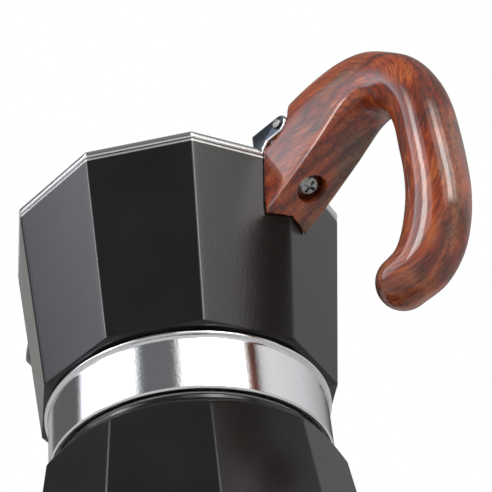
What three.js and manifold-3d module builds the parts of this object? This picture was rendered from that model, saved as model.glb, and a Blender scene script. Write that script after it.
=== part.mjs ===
// A ten-sided stovetop moka pot: boiler with safety valve, funnel, gasket and filter plate, a jug with
// pour column, spout and polished band, a hinged lid with a knob, and a curled wood-effect handle.
// Millimetres, +Z up. The origin is the centre of the boiler's base, the handle points along +X,
// the spout along -X, and the safety valve sits on the facet that faces +Y.
import * as THREE from "three";
import { ConvexGeometry } from "three/addons/geometries/ConvexGeometry.js";
import { mergeVertices } from "three/addons/utils/BufferGeometryUtils.js";
import Module from "manifold-3d";

// ---------------------------------------------------------------- driving dimensions

const FACETS = 10; // sides of the boiler, the jug and the lid
const GAP = 0.3; // clearance between pieces that touch
const ROUND = 60; // sides of a large turned surface
const ROUND_MIDDLE = 48; // of a ring or a perforated disc
const ROUND_SLIM = 32; // of the pour column and the knob
const ROUND_SMALL = 24; // of a small turned piece
const ROUND_BORE = 20; // of a small bore
const HEXAGON = 6;
const WIRE_SIDES = 6; // of a thread's ridge or a spring's wire
const THREAD_STEPS = 32; // per turn
const SPRING_STEPS = 16; // per turn
const CURVE_STEPS = 8; // along an arc of a flat outline

// Boiler
const BOILER_HEIGHT = 83.4; // base to the ledge around the neck
const BASE_RADIUS = 53.7; // corners of the faceted wall, carried down to the base
const SHOULDER_RADIUS = 43.3; // corners of the faceted wall where they meet the turned shoulder
const SHOULDER_DROP = 5.8; // from the ledge down to those corners
const LIP_HEIGHT = 1.4; // round lip above the shoulder cone
const LIP_INSET = 1.6; // the lip stands this far inside the band
const BASE_CHAMFER = 3; // bevel around the base
const BOILER_WALL = 3.6;
const BOILER_FLOOR = 4.2;
const NECK_RADIUS = 33.4; // root of the boiler's thread
const NECK_WALL = 3;
const NECK_HEIGHT = 10.6;

// Thread between boiler and jug
const THREAD_PITCH = 3;
const THREAD_DEPTH = 1;
const THREAD_TURNS = 1.75;
const THREAD_CLEARANCE = 0.5; // between the two crests

// Seal stack and funnel
const SHEET = 0.8; // sheet of the funnel and its perforated plates
const FUNNEL_RIM = 0.5; // the funnel's rim stands this far past the neck's thread root
const FUNNEL_CLEARANCE = 0.5; // around the basket in the neck
const BASKET_DEPTH = 25;
const BASKET_CONE = 7; // height of the cone under the basket
const STEM_RADIUS = 5.6;
const STEM_END_HEIGHT = 4.6; // of the stem's end over the boiler's floor
const GASKET_THICKNESS = 3;
const GASKET_WIDTH = 6.3;
const FILTER_INSET = 2.5; // filter plate's edge inside the jug's thread crest
const HOLE_RADIUS = 1.1; // perforations
const HOLE_PITCH = 7.4;
const HOLE_SIDES = 6;

// Jug
const WALL_HEIGHT = 60.1; // faceted wall, lower edge to rim
const RIM_RADIUS = 51.1; // rim corners
const FOOT_RADIUS = 43.8; // corners of the faceted wall's lower edge
const FOOT_RISE = 1.5; // from the band up to that edge
const JUG_WALL = 3.2;
const JUG_FLOOR = 5;
const SKIRT_WALL = 2; // wall outside the thread
const BAND_HEIGHT = 18.1;
const BAND_WALL = 2;
const BAND_LIP = 1.1; // the upper lip stands this far past the band
const BAND_LIP_HEIGHT = 1.5;
const BAND_CHAMFER = 0.9; // around the lower edge
const SPOUT_REACH = 75; // axis to the blunt end of the spout
const SPOUT_HALF_WIDTH = 20.5; // where the spout leaves the wall at the rim
const SPOUT_HEIGHT = 42;
const SPOUT_WALL = 2.4;
const SPOUT_BLUNT = 2.2; // half width of the spout's blunt end
const SPOUT_NOSE = 5; // length of the spout's rounded nose
const SPOUT_NOSE_HALF_WIDTH = 6.2;
const SPOUT_SIDE_SHIFT = 1.5; // the channel's slanted sides move in by this many walls,
const SPOUT_BLUNT_SHIFT = 0.4; // and its blunt end narrows by this many

// Pour column
const COLUMN_HEIGHT = 42; // over the jug's floor
const COLUMN_FOOT_RADIUS = 7.6;
const COLUMN_TOP_RADIUS = 5.4;
const COLUMN_BORE = 3.4;
const COLUMN_FLANGE = 2.4; // the flange stands this far past the foot
const COLUMN_SLOT_WIDTH = 3.6;
const COLUMN_SLOT_HEIGHT = 7;

// Lid, hinge and knob
const LID_EDGE = 2.3; // thickness of the edge
const LID_OVERHANG = 0.2;
const LID_RISE = 8; // edge to the flat top
const LID_TOP_RADIUS = 10;
const LID_SHEET = 1.8;
const LID_BEAK_SETBACK = 7; // from the spout's end back to the lid's beak
const LID_SPIGOT = 2.5; // depth of the ring that drops into the jug
const LID_SPIGOT_WALL = 1.2;
const LID_SPIGOT_CLEARANCE = 0.53;
const HINGE_OUT = 3.9; // pin axis outside the rim corner
const HINGE_UP = 7.9; // pin axis above the rim
const PIN_RADIUS = 1.5;
const PIN_CLEARANCE = 0.3;
const PIN_PROUD = 0.8; // pin's end past the ear
const KNUCKLE_RADIUS = 3.1;
const KNUCKLE_WIDTH = 10.8;
const EAR_THICKNESS = 2;
const EAR_ROOT = 11; // ear's inner end, measured inwards from the pin axis
const KNOB_HEIGHT = 24;
const KNOB_RADIUS = 10.5;
const KNOB_WAIST = 6.4;
const KNOB_WAIST_HEIGHT = 6;
const KNOB_FOOT = 7.4; // radius where it stands on the lid
const KNOB_CROWN_HEIGHT = 17.3; // up to the widest part
const KNOB_EDGE = 3; // height of the widest part
const KNOB_TOP = 5.25; // radius of the flat on top
const KNOB_SCREW_RADIUS = 2;
const KNOB_SCREW_REACH = 12; // into the knob
const KNOB_SCREW_HEAD_RADIUS = 3.8;
const KNOB_SCREW_HEAD = 2;
const KNOB_WASHER = 0.8;
const KNOB_WASHER_RADIUS = 4.8;

// Handle
const HANDLE_WIDTH = 17;
const HANDLE_EDGE = 4.6; // rounding of the handle's edges
const FOOT_DROP = 21.3; // handle's lower corner below the rim
const UNDERSIDE_ANGLE = 24.8; // degrees, rise of the flat underside
const UNDERSIDE_LENGTH = 25;
const HANDLE_RISE = 15.4; // top of the handle above the rim
const GRIP_REACH = 101.2; // axis to the middle of the grip
const GRIP_RADIUS = 8.6;
const GRIP_DROP = 27; // straightest stretch of the grip below the rim
const TIP_REACH = 85.2; // axis to the centre of the handle's rounded end
const TIP_DROP = 65.4; // that centre below the rim
const TIP_RADIUS = 6.8;
const BEND_FULLNESS = 1.4; // how far the outer curve runs straight, in widths of the grip
const CREST_FULLNESS = 1.25;
const BEVEL_STEPS = 2;
const OUTLINE_STEPS = 7; // along each curve of the side view
const NOTCH_WALL = 4.5; // from the pin axis out to the notch's wall
const NOTCH_FLOOR = 1.9; // notch's floor above the rim
const TANG_LENGTH = 11; // jug's tang beyond the rim corner
const TANG_WIDTH = 8.4;
const TANG_COVER = 5.5; // handle's thickness under the tang
const TANG_DROP = 2.4; // tang's top below the rim
const SCREW_OUT = 13.1; // screw's place along the underside
const SCREW_RADIUS = 2;
const SCREW_HEAD_RADIUS = 4;
const SCREW_HEAD_HEIGHT = 2.2;
const SCREW_SINK = 1; // head's top below the underside
const SCREW_LENGTH = 12; // underside to the screw's end
const SCREW_CROSS = 4.8; // length of the recess's arms
const SCREW_CROSS_WIDTH = 1;

// Safety valve
const VALVE_HEIGHT = 42;
const VALVE_BOSS_RADIUS = 7.6;
const VALVE_BOSS_RISE = 1.2; // past the facet
const VALVE_SHANK_RADIUS = 4;
const VALVE_FLANGE_RADIUS = 6.6;
const VALVE_FLANGE = 2.2;
const VALVE_NOSE_RADIUS = 4.9;
const VALVE_NOSE = 5.6;
const VALVE_SEAT = 2; // thickness of the seat at the inner end
const VALVE_SEAT_BORE = 1.5;
const VALVE_CHAMBER_RADIUS = 3.3;
const VALVE_WASHER = 1;
const POPPET_TRAVEL = 1.5;
const POPPET_HEAD_RADIUS = 2.7;
const POPPET_HEAD = 2;
const POPPET_STEM_RADIUS = 1;
const POPPET_PROUD = 3.2; // stem's end past the cap
const SPRING_RADIUS = 2.1;
const SPRING_WIRE = 0.35;
const SPRING_TURNS = 4;
const VALVE_CAP = 1.2;

// ---------------------------------------------------------------- levels and radii that follow

const toRadians = Math.PI / 180;
const facetHalfAngle = Math.PI / FACETS;
const inradiusShare = Math.cos(facetHalfAngle);

const shoulderZ = BOILER_HEIGHT - SHOULDER_DROP;
const flare = (BASE_RADIUS - SHOULDER_RADIUS) / shoulderZ;
const boilerCorner = (z) => SHOULDER_RADIUS + flare * (shoulderZ - z);

const boilerThreadCrest = NECK_RADIUS + THREAD_DEPTH;
const jugThreadCrest = boilerThreadCrest + THREAD_CLEARANCE;
const skirtBore = jugThreadCrest + THREAD_DEPTH;
const skirtRadius = skirtBore + SKIRT_WALL;
const bandBore = skirtRadius + GAP;
const bandRadius = bandBore + BAND_WALL;
const lipRadius = bandRadius - LIP_INSET;
const neckBore = NECK_RADIUS - NECK_WALL;
const basketRadius = neckBore - FUNNEL_CLEARANCE;
const filterRadius = jugThreadCrest - FILTER_INSET;

const neckTopZ = BOILER_HEIGHT + NECK_HEIGHT;
const funnelRimZ = neckTopZ + GAP;
const gasketZ = funnelRimZ + SHEET + GAP;
const filterZ = gasketZ + GASKET_THICKNESS + GAP;
const seatZ = filterZ + SHEET + GAP;
const jugFloorZ = seatZ + JUG_FLOOR;
const skirtZ = BOILER_HEIGHT + GAP;
const bandZ = skirtZ + GAP;
const bandTopZ = bandZ + BAND_HEIGHT;
const footZ = bandTopZ + FOOT_RISE;
const rimZ = footZ + WALL_HEIGHT;
const jugCorner = (z) => FOOT_RADIUS + ((RIM_RADIUS - FOOT_RADIUS) * (z - footZ)) / WALL_HEIGHT;

const lidZ = rimZ + GAP;
const lidCorner = RIM_RADIUS + LID_OVERHANG;
const lidTopZ = lidZ + LID_EDGE + LID_RISE;
const pinX = RIM_RADIUS + HINGE_OUT;
const pinZ = rimZ + HINGE_UP;
const earInnerY = KNUCKLE_WIDTH / 2 + GAP;
const earOuterY = earInnerY + EAR_THICKNESS;

const handleFootZ = rimZ - FOOT_DROP;
const handleFootX = jugCorner(handleFootZ) * inradiusShare;
const undersideSlope = Math.tan(UNDERSIDE_ANGLE * toRadians);
const undersideZ = (x) => handleFootZ + undersideSlope * (x - handleFootX);
const notchX = pinX + NOTCH_WALL;

const basketBottomZ = funnelRimZ - BASKET_DEPTH;
const stemTopZ = basketBottomZ - BASKET_CONE;
const stemEndZ = BOILER_FLOOR + STEM_END_HEIGHT;

// ---------------------------------------------------------------- solids

const wasm = await Module();
wasm.setup();

// Turns a closed three.js geometry into a solid that can be cut and joined.
function solid(geometry) {
  const bare = geometry.index ? geometry.toNonIndexed() : geometry.clone();
  bare.deleteAttribute("normal");
  bare.deleteAttribute("uv");
  const merged = mergeVertices(bare, 1e-4);
  const vertProperties = new Float32Array(merged.attributes.position.array);
  const triVerts = new Uint32Array(merged.index.array);
  return new wasm.Manifold(new wasm.Mesh({ numProp: 3, vertProperties, triVerts }));
}

function geometryOf(body) {
  const mesh = body.getMesh();
  const geometry = new THREE.BufferGeometry();
  geometry.setAttribute("position", new THREE.BufferAttribute(new Float32Array(mesh.vertProperties), 3));
  geometry.setIndex(new THREE.BufferAttribute(new Uint32Array(mesh.triVerts), 1));
  geometry.computeVertexNormals();
  return geometry;
}

const joined = (bodies) => bodies.reduce((sum, body) => sum.add(body));

// A profile of [radius, height] pairs turned about Z. The profile runs upwards on the outside.
function turned(profile, segments = ROUND_MIDDLE, phase = 0) {
  const points = profile.map(([r, z]) => new THREE.Vector2(r, z));
  return solid(new THREE.LatheGeometry(points, segments, phase).rotateX(Math.PI / 2));
}

// The same with flat facets, one corner on +X: radii are those of the corners.
const faceted = (profile) => turned(profile, FACETS, Math.PI / 2);

// A plate in the XZ plane, from a Shape drawn in x and z, centred on Y.
function sidePlate(shape, width, centreY = 0) {
  const options = { depth: width, bevelEnabled: false, curveSegments: CURVE_STEPS };
  const geometry = new THREE.ExtrudeGeometry(shape, options);
  return solid(geometry.rotateX(Math.PI / 2).translate(0, centreY + width / 2, 0));
}

function rod(radius, length, segments = ROUND_SMALL) {
  return new THREE.CylinderGeometry(radius, radius, length, segments);
}

function block(sizeX, sizeY, sizeZ, x, y, z) {
  return solid(new THREE.BoxGeometry(sizeX, sizeY, sizeZ).translate(x, y, z));
}

class Helix extends THREE.Curve {
  constructor(radius, pitch, turns, startZ) {
    super();
    Object.assign(this, { radius, pitch, turns, startZ });
  }

  getPoint(t, target = new THREE.Vector3()) {
    const angle = 2 * Math.PI * this.turns * t;
    const z = this.startZ + this.pitch * this.turns * t;
    return target.set(this.radius * Math.cos(angle), this.radius * Math.sin(angle), z);
  }
}

function circlePoints(radius, sides, x = 0, y = 0) {
  return Array.from({ length: sides }, (_, i) => {
    const angle = (2 * Math.PI * i) / sides;
    return new THREE.Vector2(x + radius * Math.cos(angle), y + radius * Math.sin(angle));
  });
}

// A round wire or ridge wound along a helix about Z.
function coil(radius, wireRadius, pitch, turns, startZ, stepsPerTurn) {
  const extrudePath = new Helix(radius, pitch, turns, startZ);
  const steps = Math.round(stepsPerTurn * turns);
  const shape = new THREE.Shape(circlePoints(wireRadius, WIRE_SIDES));
  return solid(new THREE.ExtrudeGeometry(shape, { extrudePath, steps, bevelEnabled: false }));
}

// A flat disc with a hexagonal pattern of perforations.
function perforatedDisc(radius, z, patternRadius) {
  const shape = new THREE.Shape(circlePoints(radius, ROUND_MIDDLE));
  const rowStep = (HOLE_PITCH * Math.sqrt(3)) / 2;
  const rows = Math.floor(patternRadius / rowStep);
  for (let row = -rows; row <= rows; row++) {
    const shift = row % 2 ? HOLE_PITCH / 2 : 0;
    const y = row * rowStep;
    const reach = Math.ceil(patternRadius / HOLE_PITCH) + 1;
    for (let column = -reach; column <= reach; column++) {
      const x = column * HOLE_PITCH + shift;
      if (Math.hypot(x, y) > patternRadius) continue;
      shape.holes.push(new THREE.Path(circlePoints(HOLE_RADIUS, HOLE_SIDES, x, y)));
    }
  }
  const geometry = new THREE.ExtrudeGeometry(shape, { depth: SHEET, bevelEnabled: false });
  return solid(geometry.translate(0, 0, z));
}

// ---------------------------------------------------------------- boiler

const bossFaceY = boilerCorner(VALVE_HEIGHT) * inradiusShare + VALVE_BOSS_RISE;

function boiler() {
  const wall = faceted([
    [0, 0],
    [boilerCorner(0) - BASE_CHAMFER, 0],
    [boilerCorner(BASE_CHAMFER), BASE_CHAMFER],
    [boilerCorner(BOILER_HEIGHT), BOILER_HEIGHT],
    [0, BOILER_HEIGHT],
  ]);
  const lipZ = BOILER_HEIGHT - LIP_HEIGHT;
  const coneSlope = (lipZ - shoulderZ) / (SHOULDER_RADIUS - lipRadius);
  const coneReach = BASE_RADIUS + BASE_CHAMFER;
  const turnedLimit = turned([
    [0, 0],
    [coneReach, 0],
    [coneReach, lipZ - coneSlope * (coneReach - lipRadius)],
    [lipRadius, lipZ],
    [lipRadius, BOILER_HEIGHT],
    [0, BOILER_HEIGHT],
  ], ROUND);
  const neck = turned([
    [0, shoulderZ],
    [NECK_RADIUS, shoulderZ],
    [NECK_RADIUS, neckTopZ],
    [0, neckTopZ],
  ], ROUND);
  const threadZ = neckTopZ - THREAD_PITCH * THREAD_TURNS - 2 * THREAD_DEPTH;
  const thread = coil(NECK_RADIUS, THREAD_DEPTH, THREAD_PITCH, THREAD_TURNS, threadZ, THREAD_STEPS);
  const boss = solid(rod(VALVE_BOSS_RADIUS, bossFaceY - neckBore)
    .translate(0, (bossFaceY + neckBore) / 2, VALVE_HEIGHT));
  const ceilingZ = shoulderZ - BOILER_WALL;
  const cavity = faceted([
    [0, BOILER_FLOOR],
    [boilerCorner(BOILER_FLOOR) - BOILER_WALL - BASE_CHAMFER, BOILER_FLOOR],
    [boilerCorner(BOILER_FLOOR + BASE_CHAMFER) - BOILER_WALL, BOILER_FLOOR + BASE_CHAMFER],
    [boilerCorner(ceilingZ) - BOILER_WALL, ceilingZ],
    [neckBore - BOILER_WALL, BOILER_HEIGHT],
    [0, BOILER_HEIGHT],
  ]);
  const mouth = turned([
    [0, ceilingZ],
    [neckBore, ceilingZ],
    [neckBore, neckTopZ + GAP],
    [0, neckTopZ + GAP],
  ], ROUND);
  const valveHole = solid(rod(VALVE_SHANK_RADIUS + GAP, 2 * VALVE_BOSS_RADIUS)
    .translate(0, bossFaceY - VALVE_BOSS_RADIUS / 2, VALVE_HEIGHT));
  return wall.intersect(turnedLimit).add(boss.subtract(cavity)).add(neck).add(thread)
    .subtract(cavity).subtract(mouth).subtract(valveHole);
}

// ---------------------------------------------------------------- safety valve

// The valve is turned about Z first, with its outer face at height 0, then laid along +Y.
const washerY = bossFaceY + GAP;
const flangeY = washerY + VALVE_WASHER + GAP;
const noseEndY = flangeY + VALVE_FLANGE + VALVE_NOSE;
const shankEndY = bossFaceY - VALVE_BOSS_RISE - BOILER_WALL - VALVE_SEAT;
const headY = shankEndY + VALVE_SEAT + GAP;
const capY = noseEndY - VALVE_CAP;
const springY = headY + POPPET_HEAD + POPPET_TRAVEL + SPRING_WIRE + GAP;

const alongValve = (body) => body.rotate([-90, 0, 0]).translate([0, 0, VALVE_HEIGHT]);

function valveWasher() {
  const bore = VALVE_SHANK_RADIUS + GAP;
  return alongValve(turned([
    [bore, washerY],
    [VALVE_FLANGE_RADIUS, washerY],
    [VALVE_FLANGE_RADIUS, washerY + VALVE_WASHER],
    [bore, washerY + VALVE_WASHER],
    [bore, washerY],
  ], ROUND_SMALL));
}

function valveBody() {
  const noseY = flangeY + VALVE_FLANGE;
  const outside = turned([
    [0, shankEndY],
    [VALVE_SHANK_RADIUS, shankEndY],
    [VALVE_SHANK_RADIUS, noseY],
    [VALVE_NOSE_RADIUS, noseY],
    [VALVE_NOSE_RADIUS, noseEndY - POPPET_STEM_RADIUS],
    [VALVE_NOSE_RADIUS - POPPET_STEM_RADIUS, noseEndY],
    [0, noseEndY],
  ], ROUND_SMALL);
  const flange = turned([
    [0, flangeY],
    [VALVE_FLANGE_RADIUS, flangeY],
    [VALVE_FLANGE_RADIUS, noseY],
    [0, noseY],
  ], HEXAGON);
  const bore = turned([
    [0, shankEndY - GAP],
    [VALVE_SEAT_BORE, shankEndY - GAP],
    [VALVE_SEAT_BORE, shankEndY + VALVE_SEAT],
    [VALVE_CHAMBER_RADIUS, shankEndY + VALVE_SEAT],
    [VALVE_CHAMBER_RADIUS, noseEndY + GAP],
    [0, noseEndY + GAP],
  ], ROUND_SMALL);
  return alongValve(outside.add(flange).subtract(bore));
}

function valveCap() {
  const bore = POPPET_STEM_RADIUS + GAP;
  const radius = VALVE_CHAMBER_RADIUS - GAP;
  return alongValve(turned([
    [bore, capY],
    [radius, capY],
    [radius, noseEndY],
    [bore, noseEndY],
    [bore, capY],
  ], ROUND_SMALL));
}

function valvePoppet() {
  return alongValve(turned([
    [0, headY],
    [POPPET_HEAD_RADIUS, headY],
    [POPPET_HEAD_RADIUS, headY + POPPET_HEAD],
    [POPPET_STEM_RADIUS, headY + POPPET_HEAD],
    [POPPET_STEM_RADIUS, noseEndY + POPPET_PROUD],
    [0, noseEndY + POPPET_PROUD],
  ], ROUND_BORE));
}

function valveSpring() {
  const length = capY - GAP - SPRING_WIRE - springY;
  const pitch = length / SPRING_TURNS;
  return alongValve(coil(SPRING_RADIUS, SPRING_WIRE, pitch, SPRING_TURNS, springY, SPRING_STEPS));
}

// ---------------------------------------------------------------- funnel, gasket and filter

function funnel() {
  const rimRadius = NECK_RADIUS + FUNNEL_RIM;
  const rimTop = funnelRimZ + SHEET;
  const stemBore = STEM_RADIUS - SHEET;
  return turned([
    [STEM_RADIUS, stemEndZ],
    [STEM_RADIUS, stemTopZ],
    [basketRadius, basketBottomZ],
    [basketRadius, funnelRimZ],
    [rimRadius, funnelRimZ],
    [rimRadius, rimTop],
    [basketRadius - SHEET, rimTop],
    [basketRadius - SHEET, basketBottomZ + SHEET / 2],
    [stemBore, stemTopZ + SHEET / 2],
    [stemBore, stemEndZ],
    [STEM_RADIUS, stemEndZ],
  ], ROUND);
}

const funnelPlate = () => {
  const radius = basketRadius - SHEET - GAP;
  return perforatedDisc(radius, basketBottomZ + SHEET, radius - HOLE_PITCH / 2);
};

const filterPlate = () => perforatedDisc(filterRadius, filterZ, filterRadius - GASKET_WIDTH);

function gasket() {
  const radius = jugThreadCrest - GAP;
  return turned([
    [radius - GASKET_WIDTH, gasketZ],
    [radius, gasketZ],
    [radius, gasketZ + GASKET_THICKNESS],
    [radius - GASKET_WIDTH, gasketZ + GASKET_THICKNESS],
    [radius - GASKET_WIDTH, gasketZ],
  ], ROUND_MIDDLE);
}

// ---------------------------------------------------------------- jug

const columnSocket = COLUMN_FOOT_RADIUS + GAP;

// A wedge that narrows from the rim down to one point on the wall's corner. Moved in by an inset
// and raised past the rim it is the channel, otherwise the outside.
function spoutWedge(inset, topZ) {
  const halfWidth = SPOUT_HALF_WIDTH - SPOUT_SIDE_SHIFT * inset;
  const backX = RIM_RADIUS - SPOUT_HALF_WIDTH * Math.tan(facetHalfAngle) - JUG_WALL / 2;
  const blunt = SPOUT_BLUNT - SPOUT_BLUNT_SHIFT * inset;
  const tip = SPOUT_REACH - inset;
  const pointZ = rimZ - SPOUT_HEIGHT + 2 * inset;
  const pointX = jugCorner(pointZ) - JUG_WALL / 2 - inset;
  const corners = [[-pointX, 0, pointZ]];
  for (const side of [-1, 1]) {
    for (const z of [rimZ - SPOUT_BLUNT, topZ]) corners.push([-tip, side * blunt, z + 2 * inset]);
    corners.push([SPOUT_NOSE - tip, side * (SPOUT_NOSE_HALF_WIDTH - inset), topZ + 2 * inset]);
    corners.push([-backX, side * halfWidth, topZ], [-backX, side * halfWidth, rimZ - 2 * SPOUT_BLUNT]);
  }
  return solid(new ConvexGeometry(corners.map(([x, y, z]) => new THREE.Vector3(x, y, z))));
}

// The tang that the handle is screwed to, with the hinge knuckle that rises from it. Grown by a
// clearance it is the handle's socket.
function tang(grow = 0) {
  const topZ = rimZ - TANG_DROP + grow;
  const rootX = handleFootX - JUG_WALL / 2;
  const endX = RIM_RADIUS + TANG_LENGTH + grow;
  const cover = (TANG_COVER - grow) / Math.cos(UNDERSIDE_ANGLE * toRadians);
  const shape = new THREE.Shape();
  shape.moveTo(rootX, undersideZ(rootX) + cover);
  shape.lineTo(endX, undersideZ(endX) + cover);
  shape.lineTo(endX, topZ);
  shape.lineTo(rootX, topZ);
  const radius = KNUCKLE_RADIUS + grow;
  const armFootZ = rimZ - TANG_DROP - KNUCKLE_RADIUS - grow;
  const arm = new THREE.Shape();
  arm.moveTo(pinX - radius, armFootZ);
  arm.lineTo(pinX + radius, armFootZ);
  arm.lineTo(pinX + radius, pinZ);
  arm.absarc(pinX, pinZ, radius, 0, Math.PI, false);
  return sidePlate(shape, TANG_WIDTH + 2 * grow).add(sidePlate(arm, KNUCKLE_WIDTH + 2 * grow));
}

const pinHole = () =>
  solid(rod(PIN_RADIUS + PIN_CLEARANCE, 4 * earOuterY, ROUND_BORE).translate(pinX, 0, pinZ));

function jug() {
  const outside = faceted([
    [0, bandTopZ + GAP],
    [skirtRadius, bandTopZ + GAP],
    [FOOT_RADIUS, footZ],
    [RIM_RADIUS, rimZ],
    [0, rimZ],
  ]);
  const skirt = turned([
    [0, skirtZ],
    [skirtRadius, skirtZ],
    [skirtRadius, footZ],
    [0, footZ],
  ], ROUND);
  const inside = faceted([
    [0, jugFloorZ],
    [jugCorner(jugFloorZ) - 2 * JUG_WALL, jugFloorZ],
    [jugCorner(jugFloorZ + JUG_WALL) - JUG_WALL, jugFloorZ + JUG_WALL],
    [jugCorner(rimZ + GAP) - JUG_WALL, rimZ + GAP],
    [0, rimZ + GAP],
  ]);
  const domeRadius = filterRadius - GASKET_WIDTH;
  const below = turned([
    [0, skirtZ - GAP],
    [skirtBore, skirtZ - GAP],
    [skirtBore, seatZ],
    [domeRadius, seatZ],
    [columnSocket, seatZ + JUG_FLOOR / 2],
    [columnSocket, jugFloorZ + GAP],
    [0, jugFloorZ + GAP],
  ], ROUND);
  const threadZ = neckTopZ - THREAD_PITCH * (THREAD_TURNS + 0.5) - 2 * THREAD_DEPTH;
  const thread = coil(skirtBore, THREAD_DEPTH, THREAD_PITCH, THREAD_TURNS, threadZ, THREAD_STEPS)
    .subtract(turned([
      [skirtRadius - SKIRT_WALL / 2, skirtZ],
      [skirtRadius + SKIRT_WALL, skirtZ],
      [skirtRadius + SKIRT_WALL, seatZ],
      [skirtRadius - SKIRT_WALL / 2, seatZ],
      [skirtRadius - SKIRT_WALL / 2, skirtZ],
    ], ROUND));
  const screwHole = alongScrew(turned([
    [0, 0],
    [SCREW_RADIUS + GAP, 0],
    [SCREW_RADIUS + GAP, SCREW_LENGTH + GAP],
    [0, SCREW_LENGTH + GAP],
  ], ROUND_SMALL));
  const shell = outside.add(skirt).add(tang()).add(spoutWedge(0, rimZ));
  return shell.subtract(inside).subtract(spoutWedge(SPOUT_WALL, rimZ + GAP)).subtract(below)
    .add(thread).subtract(screwHole).subtract(pinHole());
}

function collarBand() {
  const lip = bandRadius + BAND_LIP;
  const lipZ = bandTopZ - BAND_LIP_HEIGHT;
  const softening = BAND_LIP_HEIGHT / 3;
  return turned([
    [bandBore, bandZ],
    [bandRadius - BAND_CHAMFER, bandZ],
    [bandRadius, bandZ + BAND_CHAMFER],
    [bandRadius, lipZ - 2 * BAND_LIP],
    [bandRadius + BAND_LIP / 4, lipZ - softening],
    [lip - softening, lipZ],
    [lip, lipZ + softening],
    [lip, bandTopZ - softening],
    [lip - softening, bandTopZ],
    [bandBore, bandTopZ],
    [bandBore, bandZ],
  ], ROUND);
}

function column() {
  const footEndZ = seatZ + JUG_FLOOR / 2;
  const topZ = jugFloorZ + COLUMN_HEIGHT;
  const flangeZ = jugFloorZ + GAP;
  const body = turned([
    [0, footEndZ],
    [COLUMN_FOOT_RADIUS, footEndZ],
    [COLUMN_FOOT_RADIUS, flangeZ],
    [COLUMN_FOOT_RADIUS + COLUMN_FLANGE, flangeZ],
    [COLUMN_FOOT_RADIUS, flangeZ + COLUMN_FLANGE],
    [COLUMN_TOP_RADIUS, topZ - COLUMN_TOP_RADIUS / 2],
    [COLUMN_TOP_RADIUS / 2, topZ],
    [0, topZ],
  ], ROUND_SLIM);
  const roofZ = topZ - COLUMN_TOP_RADIUS / 2;
  const bore = turned([
    [0, footEndZ - GAP],
    [COLUMN_BORE, footEndZ - GAP],
    [COLUMN_BORE, roofZ],
    [0, roofZ],
  ], ROUND_BORE);
  const slotZ = roofZ - COLUMN_SLOT_HEIGHT / 2;
  const slots = block(COLUMN_SLOT_WIDTH, 4 * COLUMN_TOP_RADIUS, COLUMN_SLOT_HEIGHT, 0, 0, slotZ);
  return body.subtract(bore).subtract(slots);
}

// ---------------------------------------------------------------- lid and knob

const knobSeatZ = lidTopZ + GAP;
const knobScrewBore = KNOB_SCREW_RADIUS + GAP;

function ear(side) {
  const shape = new THREE.Shape();
  const rootX = pinX - EAR_ROOT;
  const beyondRim = pinX - HINGE_OUT - LID_OVERHANG;
  shape.moveTo(rootX, lidZ + LID_EDGE / 2);
  shape.lineTo(beyondRim - HINGE_OUT, lidZ + LID_EDGE / 2);
  shape.lineTo(beyondRim - HINGE_OUT / 2, pinZ - KNUCKLE_RADIUS);
  shape.lineTo(pinX, pinZ - KNUCKLE_RADIUS);
  shape.absarc(pinX, pinZ, KNUCKLE_RADIUS, -Math.PI / 2, Math.PI / 2, false);
  shape.lineTo(rootX, pinZ + KNUCKLE_RADIUS);
  return sidePlate(shape, EAR_THICKNESS, side * (earInnerY + EAR_THICKNESS / 2));
}

// The lid's beak over the spout, cut back so that coffee can run out in front of it.
function lidBeak() {
  const inset = SPOUT_WALL / 2;
  const shape = new THREE.Shape();
  const backX = RIM_RADIUS - SPOUT_HALF_WIDTH * Math.tan(facetHalfAngle) - JUG_WALL;
  shape.moveTo(-backX, SPOUT_HALF_WIDTH - inset);
  shape.lineTo(-(SPOUT_REACH - LID_BEAK_SETBACK), SPOUT_BLUNT);
  shape.lineTo(-(SPOUT_REACH - LID_BEAK_SETBACK), -SPOUT_BLUNT);
  shape.lineTo(-backX, inset - SPOUT_HALF_WIDTH);
  const geometry = new THREE.ExtrudeGeometry(shape, { depth: LID_EDGE, bevelEnabled: false });
  return solid(geometry.translate(0, 0, lidZ));
}

function lid() {
  const outside = faceted([
    [0, lidZ],
    [lidCorner, lidZ],
    [lidCorner, lidZ + LID_EDGE],
    [LID_TOP_RADIUS, lidTopZ],
    [0, lidTopZ],
  ]);
  const spigotRadius = jugCorner(lidZ - LID_SPIGOT) - JUG_WALL - LID_SPIGOT_CLEARANCE;
  const spigotInner = spigotRadius - LID_SPIGOT_WALL;
  const spigot = faceted([
    [0, lidZ - LID_SPIGOT],
    [spigotRadius, lidZ - LID_SPIGOT],
    [spigotRadius, lidZ + LID_EDGE / 2],
    [0, lidZ + LID_EDGE / 2],
  ]);
  const hollow = faceted([
    [0, lidZ - LID_SPIGOT - GAP],
    [spigotInner, lidZ - LID_SPIGOT - GAP],
    [spigotInner, lidZ],
    [LID_TOP_RADIUS, lidTopZ - LID_SHEET],
    [0, lidTopZ - LID_SHEET],
  ]);
  const screwHole = solid(rod(knobScrewBore, 4 * LID_SHEET, ROUND_BORE).rotateX(Math.PI / 2)
    .translate(0, 0, lidTopZ));
  return joined([outside, spigot, lidBeak(), ear(-1), ear(1)])
    .subtract(hollow).subtract(screwHole).subtract(pinHole());
}

const hingePin = () => {
  const length = 2 * (earOuterY + PIN_PROUD);
  return solid(rod(PIN_RADIUS, length).translate(pinX, 0, pinZ));
};

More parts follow.
